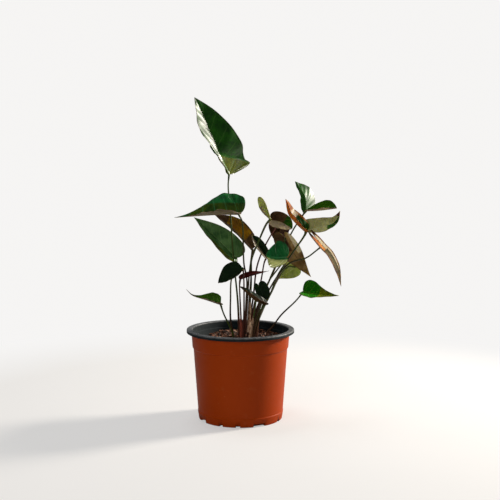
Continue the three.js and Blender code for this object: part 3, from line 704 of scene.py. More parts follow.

# %% [markdown]
# ## The leaves' shapes
# A leaf is described by its rib, from the stalk to the tip, by half an outline and by how its two
# halves fold along the rib. A few numbers a leaf are enough, where a sculpted mesh would take
# hundreds of points. They are the imported model's own, trimmed on some blades by a few millimetres,
# so each finished blade lies where its plain one does. The last entries say how it looks: the
# finishes of its upper and lower skin, where they blush or are stained, where glare, sheen or light
# shining through is painted on, and what has dried.

# %% Leaf shapes
# Every leaf has a rib, with points from the stalk to the tip, half a width, and how far its lobes
# reach back. widest and taper shape the outline. halves, lean, pinch and ear scale each half,
# sweep it forward, draw it in near the stalk or widen its ear. face is where the upper side looks,
# and fold, curl, crease and hood bend the halves. These are what most leaves have. A patch of
# blush or stain is a half (1, -1, or 0 for both), then where it starts and ends along the rib and
# out from it, in shares of the length and the width. On a few blades such a patch is painted
# glare, painted sheen or painted back-light.
LEAF = dict(
    widest=0.1, taper=(0.48, 0.74, 0.14), halves=(1, 1), lean=(0, 0), pinch=(0, 0), ear=(0, 0),
    fold=(10, 10), curl=(0, 0), crease=((1, 0), (1, 0)), hood=(0, 0, 0),
    blush=(), stain=(), dry_tip=0.0, dry_margin=0.0,
)
LEAVES = dict(
    # The crown's lobes past the hood take the moss finish as painted light shining through them.
    crown=dict(
        rib=[(-27, 29, 347), (-30, 6, 371), (-47, -1, 413), (-62, -8, 445)],
        width=38, lobe=3, widest=0.2, taper=(0.43, 0.8, 0.35), halves=(0.88, 1), lean=(1.0, -0.32),
        pinch=(1.5, 0), ear=(0, 0.68),
        face=(0.48, -0.85, 0.1), fold=(25, 12), hood=(0.27, 0.95, -35),
        stalk=[(-17, 18, 321), (-14, 18, 285), (-10, 14, 225), (-4, 9, 165)], foot=(-2, 5),
        look=("green/moss", "moss"), dry_tip=0.02,
    ),
    left_top=dict(
        rib=[(-2, -22, 287), (-25, -22, 287), (-55, -20, 285), (-90, -14, 282)],
        width=36.5, lobe=9, widest=0.14, taper=(0.26, 0.42, 0.14), halves=(0.85, 1.15),
        lean=(0.6, 0),
        face=(0, -0.46, 0.89), fold=(42, 27), crease=((1, 0), (0.43, -22)),
        stalk=[(3, -20, 275), (4, -16, 247), (5, -12, 218), (9, -10, 196), (8, -9, 165)],
        foot=(6, -8),
        look=("teal/fern", "mauve"), blush=[(-1, -0.3, 0.8, -1, 0.43)],
    ),
    left_mid=dict(
        rib=[(-6, 30, 222), (-38, 34, 253), (-66, 34, 279)],
        width=22, lobe=4, widest=0.22, taper=(0.45, 0.8, 0.25), halves=(0.68, 1),
        face=(0.31, -0.89, 0.33), fold=(27, 27),
        stalk=[(-6, 28, 210), (-13, 21, 192), (-14, 11, 166), (-14, 3, 140)], foot=(-11, 1),
        look=("sage/moss", "umber"), blush=[(1, -1, 2, 0.62, 2)],
    ),
    bronze=dict(
        rib=[(17, 26, 235), (-5, 40, 259), (-37, 52, 281)],
        width=11, lobe=1, widest=0.42, taper=(0.5, 0.8, 0.25), halves=(1.7, 0.75),
        face=(0.5, 0.8, 0.5), fold=(15, 15),
        stalk=[(15, 25, 222), (12, 18, 198), (10, 12, 168), (8, 6, 140)], foot=(6, 3),
        look=("olive", "umber/bronze"), blush=[(1, 0.22, 0.72, -1, 0.9), (-1, 0.3, 0.6, -1, 0.5)],
    ),
    edge=dict(
        rib=[(37, 8, 225), (26, 12, 240), (16, 16, 255)],
        width=12, lobe=2, widest=0.55, taper=(0.5, 0.85, 0.4), halves=(1.1, 0.8),
        face=(0.25, -0.94, 0.2), fold=(55, 45),
        stalk=[(33, 8, 217), (28, 4, 190), (19, 5, 158)], foot=(13, 3),
        # On its upper skin the mauve blush over one half is partly pale colour and partly painted sheen.
        look=("dark/mauve", "mauve"), blush=[(1, -1, 2, -1, 2)],
    ),
    front=dict(
        rib=[(63, -26, 229), (49, -30, 229), (35, -32, 233)],
        width=25, lobe=5, widest=0.3, taper=(0.55, 0.9, 0.5), halves=(1.15, 1), lean=(0.7, 0),
        face=(0, -0.66, 0.75), fold=(18, 20),
        stalk=[(58, -23, 221), (50, -18, 210), (38, -14, 192), (26, -9, 160)], foot=(17, -7),
        look=("teal/pale", "pale"), blush=[(1, -1, 2, 0.25, 2)],
    ),
    right_bronze=dict(
        rib=[(63, 20, 251), (77, 24, 226), (100, 30, 194)],
        width=15, lobe=13, taper=(0.38, 0.72, 0.3), halves=(1.25, 0.8), lean=(0, 1.2),
        face=(0.1, 0.95, 0.2),
        stalk=[(60, 17, 237), (52, 14, 217), (42, 11, 196), (30, 5, 167)], foot=(16, -2),
        look=("olive", "umber/amber/cream"), blush=[(-1, -1, 2, -1, 2), (1, 0.3, 2, -1, 2)],
        # On its underside, the cream stain near the foot of one half is painted glare.
        stain=[(-1, -1, 0.42, 0.45, 2)], dry_margin=0.05,
    ),
    right_pale=dict(
        rib=[(78, 44, 207), (68, 43, 200), (53, 39, 190)],
        width=13, lobe=4,
        face=(0.3, -0.9, 0.3),
        stalk=[(66, 40, 207), (52, 28, 190), (36, 16, 160)], foot=(19, 8),
        look=("lime", "lime"),
    ),
    small_top=dict(
        rib=[(41, -4, 279), (32, 0, 293), (25, 6, 309)],
        width=8, lobe=2, widest=0.4, taper=(0.6, 0.98, 0.6), pinch=(0.75, 0.8),
        face=(0.5, 0.7, 0.2),
        stalk=[(34, -4, 270), (24, -6, 246), (15, 2, 219), (15, 1, 190), (13, -2, 155)],
        foot=(11, -6),
        look=("olive/mauve", "pale/mauve"), blush=[(-1, -1, 0.62, -1, 2)],
    ),
    centre_top=dict(
        rib=[(42, 12, 277), (56, 12, 274), (72, 8, 265)],
        width=14, lobe=2, widest=0.4, taper=(0.5, 0.9, 0.5),
        face=(0.2, -0.7, 0.68), fold=(25, 5),
        stalk=[(36, 13, 270), (26, 15, 248), (16, 14, 225), (15, 10, 200), (12, 2, 160)],
        foot=(10, -1),
        look=("umber/mauve/green", "mauve"), blush=[(-1, -1, 2, -1, 2)],
        stain=[(1, 0.55, 2, -1, 2)],
    ),
    dark_back=dict(
        rib=[(57, 46, 270), (56, 50, 256), (54, 52, 234)],
        width=17, lobe=8,
        face=(-0.2, 0.9, 0.3), fold=(15, 15),
        stalk=[(50, 40, 264), (34, 27, 238), (23, 19, 210), (18, 12, 170)], foot=(11, 8),
        look=("mahogany", "mahogany"),
    ),
    high_upright=dict(
        rib=[(92, 34, 288), (90, 38, 309), (77, 44, 329)],
        width=21, lobe=2, widest=0.25, taper=(0.5, 0.85, 0.3), halves=(0.45, 1), lean=(0, 0.3),
        face=(0.5, -0.85, 0.1), fold=(-80, -15),
        stalk=[(88, 35, 282), (74, 37, 260), (57, 35, 224), (37, 22, 182), (22, 11, 150)],
        foot=(15, 7),
        look=("green", "olive"),
    ),
    high_right=dict(
        rib=[(92, 22, 289), (112, 17, 290), (134, 10, 293)],
        width=12, lobe=1, widest=0.45, taper=(0.5, 0.9, 0.4), halves=(1.9, 0.9), pinch=(0.9, 0.6),
        face=(0, -0.27, 0.96), fold=(30, 35),
        stalk=[(92, 24, 288), (86, 29, 280), (72, 33, 257), (56, 31, 225), (35, 16, 177)],
        foot=(18, 3),
        look=("matte", "mauve"),
    ),
    orange=dict(
        rib=[(90, 4, 261), (77, 0, 273), (66, -4, 287), (62, -8, 307)],
        width=13, lobe=1, widest=0.4, taper=(0.4, 0.8, 0.6), halves=(1, 1.2),
        face=(0.71, -0.54, 0.44), fold=(55, 30), fold_tip=(55, 5),
        stalk=[(88, 4, 255), (70, 0, 229), (52, -4, 202), (40, -6, 172), (27, -5, 147)],
        foot=(22, -4),
        look=("green/rust/cream", "rust"),
        blush=[(1, -1, 2, -1, 2), (-1, 0.62, 2, -1, 2), (-1, -1, 2, 0.8, 2)],
        # Its cream stain midway along one half is painted glare.
        stain=[(-1, 0.42, 0.66, -1, 0.85)],
    ),
    right_top=dict(
        rib=[(92, 10, 262), (113, 4, 268), (127, 0, 273), (133, -4, 280), (137, -7, 291)],
        width=17, lobe=6, widest=0.05, taper=(0.45, 0.8, 0.3), halves=(1, 0.5), lean=(-0.1, 2.2),
        face=(0, -0.8, 0.6), fold=(5, 5),
        stalk=[(89, 11, 254), (72, 9, 230), (55, 6, 203), (44, 4, 178), (28, 2, 147)], foot=(23, 1),
        # Its sallow upper skin is partly its own pale colour and partly painted sheen.
        look=("sallow/green/umber", "mauve"), blush=[(-1, 0.5, 2, -1, 2)],
        stain=[(0, 0.86, 2, -1, 2)], dry_tip=0.16,
    ),
    drooping=dict(
        rib=[(112.5, -10, 243), (124, -12, 230), (133, -16, 211), (138, -20, 188)],
        width=10, lobe=27, taper=(0.5, 0.8, 0.25), pinch=(0.15, 0.15),
        face=(0.8, -0.4, 0.5), fold=(15, -5),
        stalk=[(104, -10, 236), (90, -10, 226), (68, -10, 219), (50, -9, 199), (34, -9, 168)],
        foot=(20, -10),
        look=("khaki/rust/straw", "umber/rust/straw"), blush=[(-1, -1, 0.1, -1, 2)],
        stain=[(1, -1, 0.12, -1, 2), (1, 0.12, 2, 0.35, 2)], dry_tip=0.1, dry_margin=0.35,
    ),
    right_low=dict(
        rib=[(87, -8, 179), (107, -16, 176), (135, -26, 176)],
        width=19, lobe=2, widest=0.12, taper=(0.3, 0.55, 0.25),
        face=(0, -0.45, 0.89), fold=(40, 22), fold_tip=(10, 10),
        stalk=[(76, -6, 165), (57, -3, 146), (45, -1, 129)], foot=(37, 0),
        look=("fresh/olive", "pale"), blush=[(0, 0.45, 2, -1, 2)],
    ),
    left_low=dict(
        rib=[(-27, -20, 163), (-45, -26, 170), (-64, -32, 177), (-73, -34, 186)],
        width=16, lobe=0, widest=0.15, taper=(0.24, 0.36, 0.08),
        face=(0, -0.35, 0.94), fold=(30, 30),
        stalk=[(-23, -18, 150), (-16, -14, 134)], foot=(-10, -10),
        look=("matte", "mauve"),
    ),
    dark_low=dict(
        rib=[(3, -34, 215), (-14, -44, 203), (-29.5, -52, 197)],
        width=18, lobe=1, widest=0.35, taper=(0.5, 0.85, 0.35), halves=(0.25, 1),
        face=(-0.2, -0.8, 0.5), fold=(12, 12),
        stalk=[(4, -31, 212), (5, -25, 195), (5, -18, 155)], foot=(4, -14),
        look=("dark", "olive"),
    ),
    furled=dict(
        rib=[(0, -20, 198), (19, -6, 202), (40, 8, 206)],
        width=7, lobe=2, widest=0.3, taper=(0.3, 0.6, 0.15),
        face=(0, -0.5, 0.8), fold=(50, 50), curl=(30, 30),
        stalk=[(-1, -18, 188), (0, -11, 160), (1, -7, 137)], foot=(1, -5),
        look=("red", "red"),
    ),
    low_heart=dict(
        rib=[(25, -15, 189), (29, -19, 179), (33, -21, 164)],
        width=12, lobe=4, widest=0.35, taper=(0.5, 0.85, 0.35), halves=(1, 0.6),
        face=(-0.1, -0.9, 0.4), fold=(8, 8),
        stalk=[(23, -14, 180), (20, -12, 155)], foot=(14, -11),
        look=("dark", "olive"),
    ),
    low_tan=dict(
        rib=[(34, -28, 164), (21, -36, 171), (9, -42, 182), (-1, -46, 192)],
        width=9, lobe=2, widest=0.3, taper=(0.4, 0.85, 0.5),
        face=(0.2, -0.3, 0.9), fold=(45, 50),
        stalk=[(27, -24, 154), (21, -18, 138)], foot=(18, -15),
        look=("dark", "umber"),
    ),
)
ROOT_DEPTH = 18.0


# %% Smooth curves through points
class Smooth:
    """A smooth curve through its points, measured along its length."""

    SAMPLES = 400

    def __init__(self, points):
        self.points = np.array(points, float)
        self.shares = np.linspace(0.0, 1.0, self.SAMPLES + 1)
        path = self.at_share(self.shares)
        steps = np.linalg.norm(np.diff(path, axis=0), axis=1)
        self.travelled = np.concatenate([[0.0], np.cumsum(steps)])
        self.length = self.travelled[-1]

    def at_share(self, share, slope=False):
        """The points at shares of the way through the list, or their directions."""
        points = self.points
        ends = np.vstack([2 * points[0] - points[1], points, 2 * points[-1] - points[-2]])
        place = np.clip(share, 0.0, 1.0) * (len(points) - 1)
        first = np.minimum(place.astype(int), len(points) - 2)
        t = (place - first)[:, None]
        a, b, c, d = (ends[first + k] for k in range(4))
        square = 2 * a - 5 * b + 4 * c - d
        cube = 3 * b - a - 3 * c + d
        if slope:
            return 0.5 * ((c - a) + 2 * square * t + 3 * cube * t * t)
        return 0.5 * (2 * b + (c - a) * t + square * t**2 + cube * t**3)

    def share_of(self, along):
        return np.interp(np.asarray(along, float) * self.length, self.travelled, self.shares)

    def point(self, along):
        return self.at_share(self.share_of(along))

    def tangent(self, along):
        return unit(self.at_share(self.share_of(along), slope=True))


def unit(vectors):
    return vectors / np.maximum(np.linalg.norm(vectors, axis=-1, keepdims=True), 1e-9)


for name, entry in LEAVES.items():
    leaf = LEAVES[name] = {**LEAF, **entry}
    leaf["curve"] = Smooth(leaf["rib"])
    leaf["length"] = leaf["curve"].length
    leaf.setdefault("fold_tip", leaf["fold"])
print("longest blade:", round(max(leaf["length"] for leaf in LEAVES.values())), "mm")

# %% [markdown]
# ## The leaves' skin
# An Anthurium's blade is waxy: a smooth, fairly glossy cuticle over a dark body, with a sunken
# midrib, side veins that arch towards the tip and join a vein along the margin, and a fine net
# between them. The veins follow the blade, so they are drawn in a UV map whose first coordinate
# runs along the rows of veins and whose second runs from margin to margin. Light comes through a
# real leaf, which a little subsurface scattering in the thin sheet gives. Old blades turn bronze
# or dry from the edge, so each look joins up to three finishes in soft-edged patches. A few of
# these patches are painted glare, painted sheen or painted light shining through a bent lobe.

# %% Leaf palettes
# Each finish: body in shade, body in light, veins, margin, roughness and how much light it lets through.
SKINS = dict(
    green=((0.002, 0.04, 0.001), (0.014, 0.12, 0.002), (0.07, 0.2, 0.03), (0.06, 0.05, 0.02), 0.39, 0.25),
    teal=((0.002, 0.055, 0.008), (0.005, 0.15, 0.028), (0.06, 0.26, 0.1), (0.04, 0.05, 0.02), 0.36, 0.15),
    sage=((0.006, 0.07, 0.006), (0.1, 0.22, 0.065), (0.2, 0.34, 0.12), (0.16, 0.14, 0.05), 0.36, 0.3),
    dark=((0.001, 0.008, 0.001), (0.002, 0.018, 0.002), (0.01, 0.04, 0.01), (0.03, 0.02, 0.01), 0.38, 0.05),
    fresh=((0.001, 0.1, 0.0), (0.012, 0.18, 0.001), (0.12, 0.3, 0.02), (0.08, 0.1, 0.01), 0.44, 0.4),
    moss=((0.045, 0.06, 0.0), (0.11, 0.13, 0.001), (0.26, 0.3, 0.04), (0.08, 0.05, 0.01), 0.26, 0.5),
    olive=((0.07, 0.09, 0.001), (0.15, 0.18, 0.004), (0.22, 0.24, 0.02), (0.1, 0.05, 0.01), 0.44, 0.7),
    pale=((0.24, 0.26, 0.07), (0.44, 0.45, 0.16), (0.46, 0.48, 0.18), (0.18, 0.12, 0.05), 0.46, 0.8),
    # The sallow finish is partly a yellowing blade's own colour and partly painted sheen.
    sallow=((0.23, 0.24, 0.085), (0.45, 0.45, 0.21), (0.48, 0.46, 0.24), (0.16, 0.08, 0.04), 0.5, 0.5),
    mauve=((0.2, 0.16, 0.095), (0.36, 0.29, 0.18), (0.34, 0.22, 0.13), (0.12, 0.05, 0.03), 0.48, 0.45),
    bronze=((0.21, 0.09, 0.0), (0.43, 0.22, 0.003), (0.4, 0.22, 0.02), (0.06, 0.02, 0.01), 0.5, 0.7),
    amber=((0.21, 0.115, 0.026), (0.47, 0.32, 0.13), (0.4, 0.28, 0.12), (0.08, 0.03, 0.01), 0.48, 0.7),
    umber=((0.04, 0.02, 0.006), (0.11, 0.058, 0.022), (0.2, 0.11, 0.05), (0.05, 0.02, 0.01), 0.5, 0.3),
    mahogany=((0.022, 0.007, 0.002), (0.055, 0.02, 0.006), (0.1, 0.04, 0.02), (0.04, 0.01, 0.01), 0.5, 0.25),
    straw=((0.52, 0.42, 0.26), (0.78, 0.69, 0.5), (0.56, 0.42, 0.24), (0.08, 0.04, 0.02), 0.58, 0.3),
    khaki=((0.034, 0.026, 0.002), (0.08, 0.06, 0.009), (0.14, 0.1, 0.03), (0.05, 0.02, 0.01), 0.62, 0.3),
    rust=((0.4, 0.085, 0.004), (0.62, 0.2, 0.02), (0.5, 0.22, 0.04), (0.1, 0.03, 0.01), 0.48, 0.7),
    red=((0.035, 0.001, 0.001), (0.09, 0.004, 0.002), (0.12, 0.01, 0.01), (0.04, 0.01, 0.01), 0.6, 0.2),
    lime=((0.32, 0.36, 0.09), (0.54, 0.58, 0.2), (0.6, 0.62, 0.28), (0.2, 0.14, 0.05), 0.5, 0.8),
    matte=((0.008, 0.05, 0.001), (0.03, 0.1, 0.002), (0.1, 0.2, 0.03), (0.06, 0.05, 0.02), 0.62, 0.25),
    fern=((0.01, 0.034, 0.0), (0.05, 0.085, 0.001), (0.16, 0.24, 0.04), (0.08, 0.05, 0.01), 0.36, 0.4),
    # The cream finish is no colour of the leaf: it is painted glare, the warm lamp mirrored on the wax.
    cream=((0.62, 0.52, 0.36), (0.8, 0.71, 0.52), (0.6, 0.45, 0.26), (0.3, 0.12, 0.06), 0.5, 0.5),
)
# The specular level of the finishes below each roughness: waxy, soft and dull.
SHINE = ((0.40, 0.5), (0.58, 0.22), (1.0, 0.05))
SIDE_VEINS = 9
DRY_BROWN = (0.20, 0.095, 0.040)
DRY_EDGE = (0.060, 0.022, 0.012)
DRY_ROUGHNESS = 0.7
GLOW_RADIUS = (0.9, 1.0, 0.35)
GLOW_DEPTH = 0.0012


# %% Veins and dried parts
def vein_shares(tree, veins):
    """A spot's place across its half, how near it is to a side vein, and the two kinds of vein."""
    split = node(tree, "ShaderNodeSeparateXYZ", {"Vector": veins})
    across = calc(tree, "ABSOLUTE", calc(tree, "MULTIPLY_ADD", split.outputs["Y"], 2.0, -1.0))
    count = calc(tree, "FRACT", times(tree, split.outputs["X"], float(SIDE_VEINS)))
    nearness = times(tree, calc(tree, "ABSOLUTE", plus(tree, count, -0.5)), 2.0)
    fade = soft_step(tree, across, 0.97, 0.70)
    side_vein = times(tree, soft_step(tree, nearness, 0.88, 0.985), fade)
    rim_vein = soft_step(tree, calc(tree, "ABSOLUTE", plus(tree, across, -0.90)), 0.022, 0.006)
    return across, nearness, side_vein, rim_vein


def dry_shares(tree, flat, clouds):
    """How far a spot is dried, and how far it is scorched darker."""
    ragged = plus(tree, attribute(tree, "dry"), times(tree, plus(tree, clouds, -0.5), 0.9))
    dried = soft_step(tree, ragged, 0.48, 0.56)
    return dried, times(tree, dried, soft_step(tree, grain(tree, flat, 160.0, 4.0), 0.42, 0.62))


# %% Leaf material
def leaf_skin(name, look, underside):
    """A blade's skin. A look is up to three finishes joined by slashes: body, blush and stain, and a blush
    or a stain may be painted glare, sheen or back-light.
    """
    main, *others = look.split("/")
    shade, light, vein, margin, roughness, glow = SKINS[main]
    material, tree, shader = new_material(name)
    flat = node(tree, "ShaderNodeUVMap", uv_map="flat").outputs["UV"]
    veins = node(tree, "ShaderNodeUVMap", uv_map="veins").outputs["UV"]
    across, nearness, side_vein, rim_vein = vein_shares(tree, veins)
    net = soft_step(tree, cells(tree, flat, 330.0, "DISTANCE_TO_EDGE"), 0.10, 0.02)
    clouds = grain(tree, flat, 55.0, 5.0, 0.6)
    lit = soft_step(tree, clouds, 0.36, 0.66)
    body = blend(tree, lit, shade, light)
    body = blend(tree, times(tree, calc(tree, "SUBTRACT", 1.0, nearness), 0.35), body, light)
    gloss = calc(tree, "MULTIPLY_ADD", grain(tree, flat, 140.0, 4.0), 0.10, roughness - 0.05)
    for patch, other in zip(("blush", "stain"), others):
        uneven = times(tree, plus(tree, clouds, -0.5), 0.5)
        share = soft_step(tree, plus(tree, attribute(tree, patch), uneven), 0.30, 0.70)
        body = blend(tree, share, body, blend(tree, lit, *SKINS[other][:2]))
        gloss = plus(tree, gloss, times(tree, share, SKINS[other][4] - roughness))
    rare = soft_step(tree, grain(tree, flat, 90.0, 2.0), 0.58, 0.66)
    drawn = [
        (net, 0.10, vein),
        (rim_vein, 0.25, vein),
        (side_vein, 0.55, vein),
        (soft_step(tree, across, 0.060, 0.018), 0.75, vein),
        (soft_step(tree, across, 0.95, 0.995), 0.8, margin),
        (times(tree, soft_step(tree, cells(tree, flat, 260.0), 0.10, 0.05), rare), 0.5, vein),
    ]
    for share, strength, colour in drawn:
        body = blend(tree, times(tree, share, strength), body, colour)
    dried, scorched = dry_shares(tree, flat, clouds)
    body = blend(tree, scorched, blend(tree, dried, body, DRY_BROWN), DRY_EDGE)
    gloss = calc(tree, "MAXIMUM", gloss, times(tree, dried, DRY_ROUGHNESS))
    coat(tree, shader, body, gloss, next(level for limit, level in SHINE if roughness < limit))
    shader.inputs["Subsurface Weight"].default_value = glow
    shader.inputs["Subsurface Radius"].default_value = GLOW_RADIUS
    shader.inputs["Subsurface Scale"].default_value = GLOW_DEPTH
    pores = times(tree, grain(tree, flat, 800.0, 3.0), 0.08)
    relief = plus(tree, times(tree, side_vein, 0.6), times(tree, net, 0.14), pores)
    bump(tree, shader, times(tree, relief, 1.0 if underside else -1.0), 0.00022, 0.18)
    return material


FINISHES = {}


def finish_of(look, underside):
    """The skin for a look, made the first time it is asked for."""
    name = ("underleaf_" if underside else "leaf_") + look.replace("/", "_")
    if name not in FINISHES:
        FINISHES[name] = leaf_skin(name, look, underside)
    return FINISHES[name]


print("leaf finishes:", ", ".join(SKINS))

# %% [markdown]
# ## The blades
# Each blade is a grid of veins: a row starts on the rib and runs out to the margin, so the grid's
# own lines are the side veins. Between two veins the sheet is lifted a little, as the real leaf is
# puckered, the midrib stands out underneath, and the margin ripples. Two like skins, joined along
# the margin, make the sheet a closed solid.

# %% Blade sizes
# The rows of veins, the steps out from the rib, and the shares of the rows before the flank.
ROWS = 66
COLUMNS = 16
EAR_SHARE = 0.14
SHOULDER_SHARE = 0.30
VEIN_CROWDING = 1.15
# Half the sheet's thickness, the midrib's groove above and its ridge below, in millimetres.
BLADE_HALF = 0.28
RIB_GROOVE = 0.22
RIB_RIDGE = 0.75
# How far the sheet puckers between veins and ripples at the margin, in shares of the width.
PUCKER = 0.016
RIPPLE = 0.035
# Where along the rows a widened ear stands out, how far it spreads, and how narrow a pinch gets.
EAR_AT = 0.205
EAR_SPREAD = 0.09
NARROWEST = 0.08
print("grid of each half:", ROWS, "rows and", COLUMNS, "steps out")


# %% A blade's outline
def bezier(points, t):
    """Points on a cubic curve."""
    a, b, c, d = (np.array(p, float) for p in points)
    t = t[:, None]
    return (1 - t) ** 3 * a + 3 * t * (1 - t) ** 2 * b + 3 * t**2 * (1 - t) * c + t**3 * d


def outline(leaf):
    """Half an outline in the flat, and where on the rib each row starts."""
    w, b, length = leaf["width"], leaf["lobe"], leaf["length"]
    wide = leaf["widest"] * length
    rest = length - wide
    t1, t2, t3 = leaf["taper"]
    ears = round(ROWS * EAR_SHARE)
    shoulders = round(ROWS * SHOULDER_SHARE)
    flanks = ROWS - ears - shoulders
    ear = bezier(
        [(0, 0), (-0.35 * b, 0.05 * w), (-b, 0.12 * w), (-b, 0.45 * w)],
        np.linspace(0.35, 1, ears + 1),
    )
    shoulder = bezier(
        [(-b, 0.45 * w), (-b, 0.8 * w), (-0.35 * b + 0.3 * wide, w), (wide, w)],
        np.linspace(0, 1, shoulders + 1),
    )
    share = np.linspace(0, 1, flanks + 1)
    flank = bezier([(wide, w), (wide + rest * t1, w), (wide + rest * t2, t3 * w), (length, 0)], share)
    edge = np.concatenate([ear[:-1], shoulder[:-1], flank])
    root = np.concatenate([np.zeros(ears + shoulders), length * share**VEIN_CROWDING])
    return edge, root


# %% Bend the sheet
def beyond_hood(leaf, x, y, sign):
    """How far flat points lie beyond the line where the lobes bend back."""
    start, slope, _ = leaf["hood"]
    reach = start * leaf["length"] - (slope * y if sign < 0 else 0.0)
    return np.maximum(0.0, reach - x) / math.hypot(1.0, slope)


def sheet_point(leaf, x, y, sign):
    """The middle of the sheet at flat points: x along the rib and y out from it."""
    curve, length = leaf["curve"], leaf["length"]
    along = np.clip(x / length, 0, 1)
    tangent = curve.tangent(along)
    facing = np.array(leaf["face"], float)
    normal = unit(facing - (tangent @ facing)[:, None] * tangent)
    side = np.cross(normal, tangent)
    half = 0 if sign > 0 else 1
    fold = leaf["fold"][half] * (1 - along) + leaf["fold_tip"][half] * along
    bend = np.radians(fold + leaf["curl"][half] * y / leaf["width"] / 2)
    share, extra = leaf["crease"][half]
    near = np.minimum(y, share * leaf["width"] * leaf["halves"][half])
    far = y - near
    outer = bend + math.radians(extra)
    place = curve.point(along) + np.minimum(x, 0)[:, None] * tangent
    place += side * (sign * (near * np.cos(bend) + far * np.cos(outer)))[:, None]
    place += normal * (near * np.sin(bend) + far * np.sin(outer))[:, None]
    drop = math.tan(math.radians(leaf["hood"][2])) * beyond_hood(leaf, x, y, sign)
    return place - normal * drop[:, None]


def blade_base(leaf):
    """Where the blade joins its stalk."""
    return sheet_point(leaf, np.zeros(1), np.zeros(1), 1.0)[0]


# %% A blade's grid
def blade_grids(leaf, phase):
    """For both halves, the sheet's points, their flat places and how far each is lifted."""
    edge, root = outline(leaf)
    length, width = leaf["length"], leaf["width"]
    rows = len(edge)
    across = np.linspace(0, 1, COLUMNS + 1)
    count = np.linspace(0, 1, rows)
    grids = []
    for half, sign in ((0, 1.0), (1, -1.0)):
        x = root[:, None] + (edge[:, 0] - root)[:, None] * across
        narrow = 1 - leaf["pinch"][half] * (1 - np.clip(edge[:, 0] / length, 0, 1)) ** 2
        ear = leaf["ear"][half] * np.exp(-((count - EAR_AT) / EAR_SPREAD) ** 2)
        spread = leaf["halves"][half] * (np.maximum(narrow, NARROWEST) + ear)
        out = (edge[:, 1] * spread)[:, None] * across
        x = x + leaf["lean"][half] * out * (1 - np.clip(x / length, 0, 1))
        points = sheet_point(leaf, x.ravel(), out.ravel(), sign)
        vein = count[:, None] * SIDE_VEINS
        pucker = PUCKER * width * np.sin(np.pi * across) ** 0.8
        lift = pucker * (0.5 - 0.5 * np.cos(2 * np.pi * vein))
        wave = np.sin(2 * np.pi * (2.6 * count[:, None] + phase) + 2.4 * half)
        wave = wave + 0.5 * np.sin(2 * np.pi * (6.3 * count[:, None] + 2 * phase) + 1.1 * half)
        ends = np.sin(np.pi * count)[:, None]
        lift = lift + RIPPLE * width * wave * ends * across**2
        grids.append(dict(points=points.reshape(rows, COLUMNS + 1, 3), x=x, y=sign * out, lift=lift))
    return grids, count, across, root


def blade_sheet(root):
    """The middle sheet: each vertex's half, row and column, the faces, and the margin in order."""
    rows, columns = len(root), COLUMNS + 1
    last = rows - 1
    spots, faces, corners, margin = [], [], [], []

    def add(half, row, column):
        spots.append((half, row, column))
        return len(spots) - 1

    stem, tip = add(0, 0, 0), add(0, last, 0)
    rib = [tip if row == last else stem if root[row] == 0 else add(0, row, 0) for row in range(rows)]
    for half in (0, 1):
        index = [
            [rib[row] if column == 0 else tip if row == last else add(half, row, column)
             for column in range(columns)]
            for row in range(rows)
        ]
        for row in range(last):
            for column in range(columns - 1):
                loop = [(row, column), (row + 1, column), (row + 1, column + 1), (row, column + 1)]
                face, kept = [], []
                for corner in loop if half == 0 else loop[::-1]:
                    vertex = index[corner[0]][corner[1]]
                    if vertex not in face:
                        face.append(vertex)
                        kept.append((half, *corner))
                if len(face) > 2:
                    faces.append(face)
                    corners.append(kept)
        line = index[0] + [index[row][-1] for row in range(1, rows)]
        margin += line if half == 0 else line[1:-1][::-1]
    return spots, faces, corners, margin


# %% What the skin reads
# How softly a patch and a dried part end, along the rib and out from it, and a hood's painted back-light in
# mm.
PATCH_FADE = (0.05, 0.08)
DRY_FADE = (0.06, 0.12)
HOOD_LIGHT_FADE = 4.0


def patch_at(leaf, kind, x, y, sign):
    """How far a flat point has the blush or the stain: 1 inside any of the leaf's patches of it. Past a hood
    the blush is painted back-light.
    """
    share = 0.0
    # Past the hood the blush is painted light: the lamp shining through the bent-back lobes.
    if leaf["hood"][2] and kind == "blush":
        beyond = beyond_hood(leaf, np.array([x]), np.array([y]), sign)[0]
        share = min(1.0, float(beyond) / HOOD_LIGHT_FADE)
    along, out = x / leaf["length"], y / (leaf["width"] * leaf["halves"][0 if sign > 0 else 1])
    for half, x0, x1, y0, y1 in leaf[kind]:
        if half in (sign, 0):
            inside = min(along - x0, x1 - along) / PATCH_FADE[0]
            inside = min(inside, (out - y0) / PATCH_FADE[1], (y1 - out) / PATCH_FADE[1])
            share = max(share, min(1.0, 0.5 + 0.5 * inside))
    return share


def dryness(leaf, along, out):
    """How dried a spot is, from its shares of the length and of the half's width."""
    tip = (along - 1 + leaf["dry_tip"]) / DRY_FADE[0] if leaf["dry_tip"] else -1.0
    margin = (out - 1 + leaf["dry_margin"]) / DRY_FADE[1] if leaf["dry_margin"] else -1.0
    return 0.25 + 0.5 * min(1.0, max(-1.0, tip, margin))


def store_shares(mesh, leaf, spots, grids, across):
    """How dried, blushed and stained each vertex is, the same on both skins."""
    shares = {"dry": [], "blush": [], "stain": []}
    for half, row, column in spots:
        x, y = grids[half]["x"][row, column], abs(grids[half]["y"][row, column])
        shares["dry"].append(dryness(leaf, x / leaf["length"], across[column]))
        for kind in ("blush", "stain"):
            shares[kind].append(patch_at(leaf, kind, x, y, 1 - 2 * half))
    for name, values in shares.items():
        made = mesh.attributes.new(name, "FLOAT", "POINT")
        made.data.foreach_set("value", np.array(values + values))


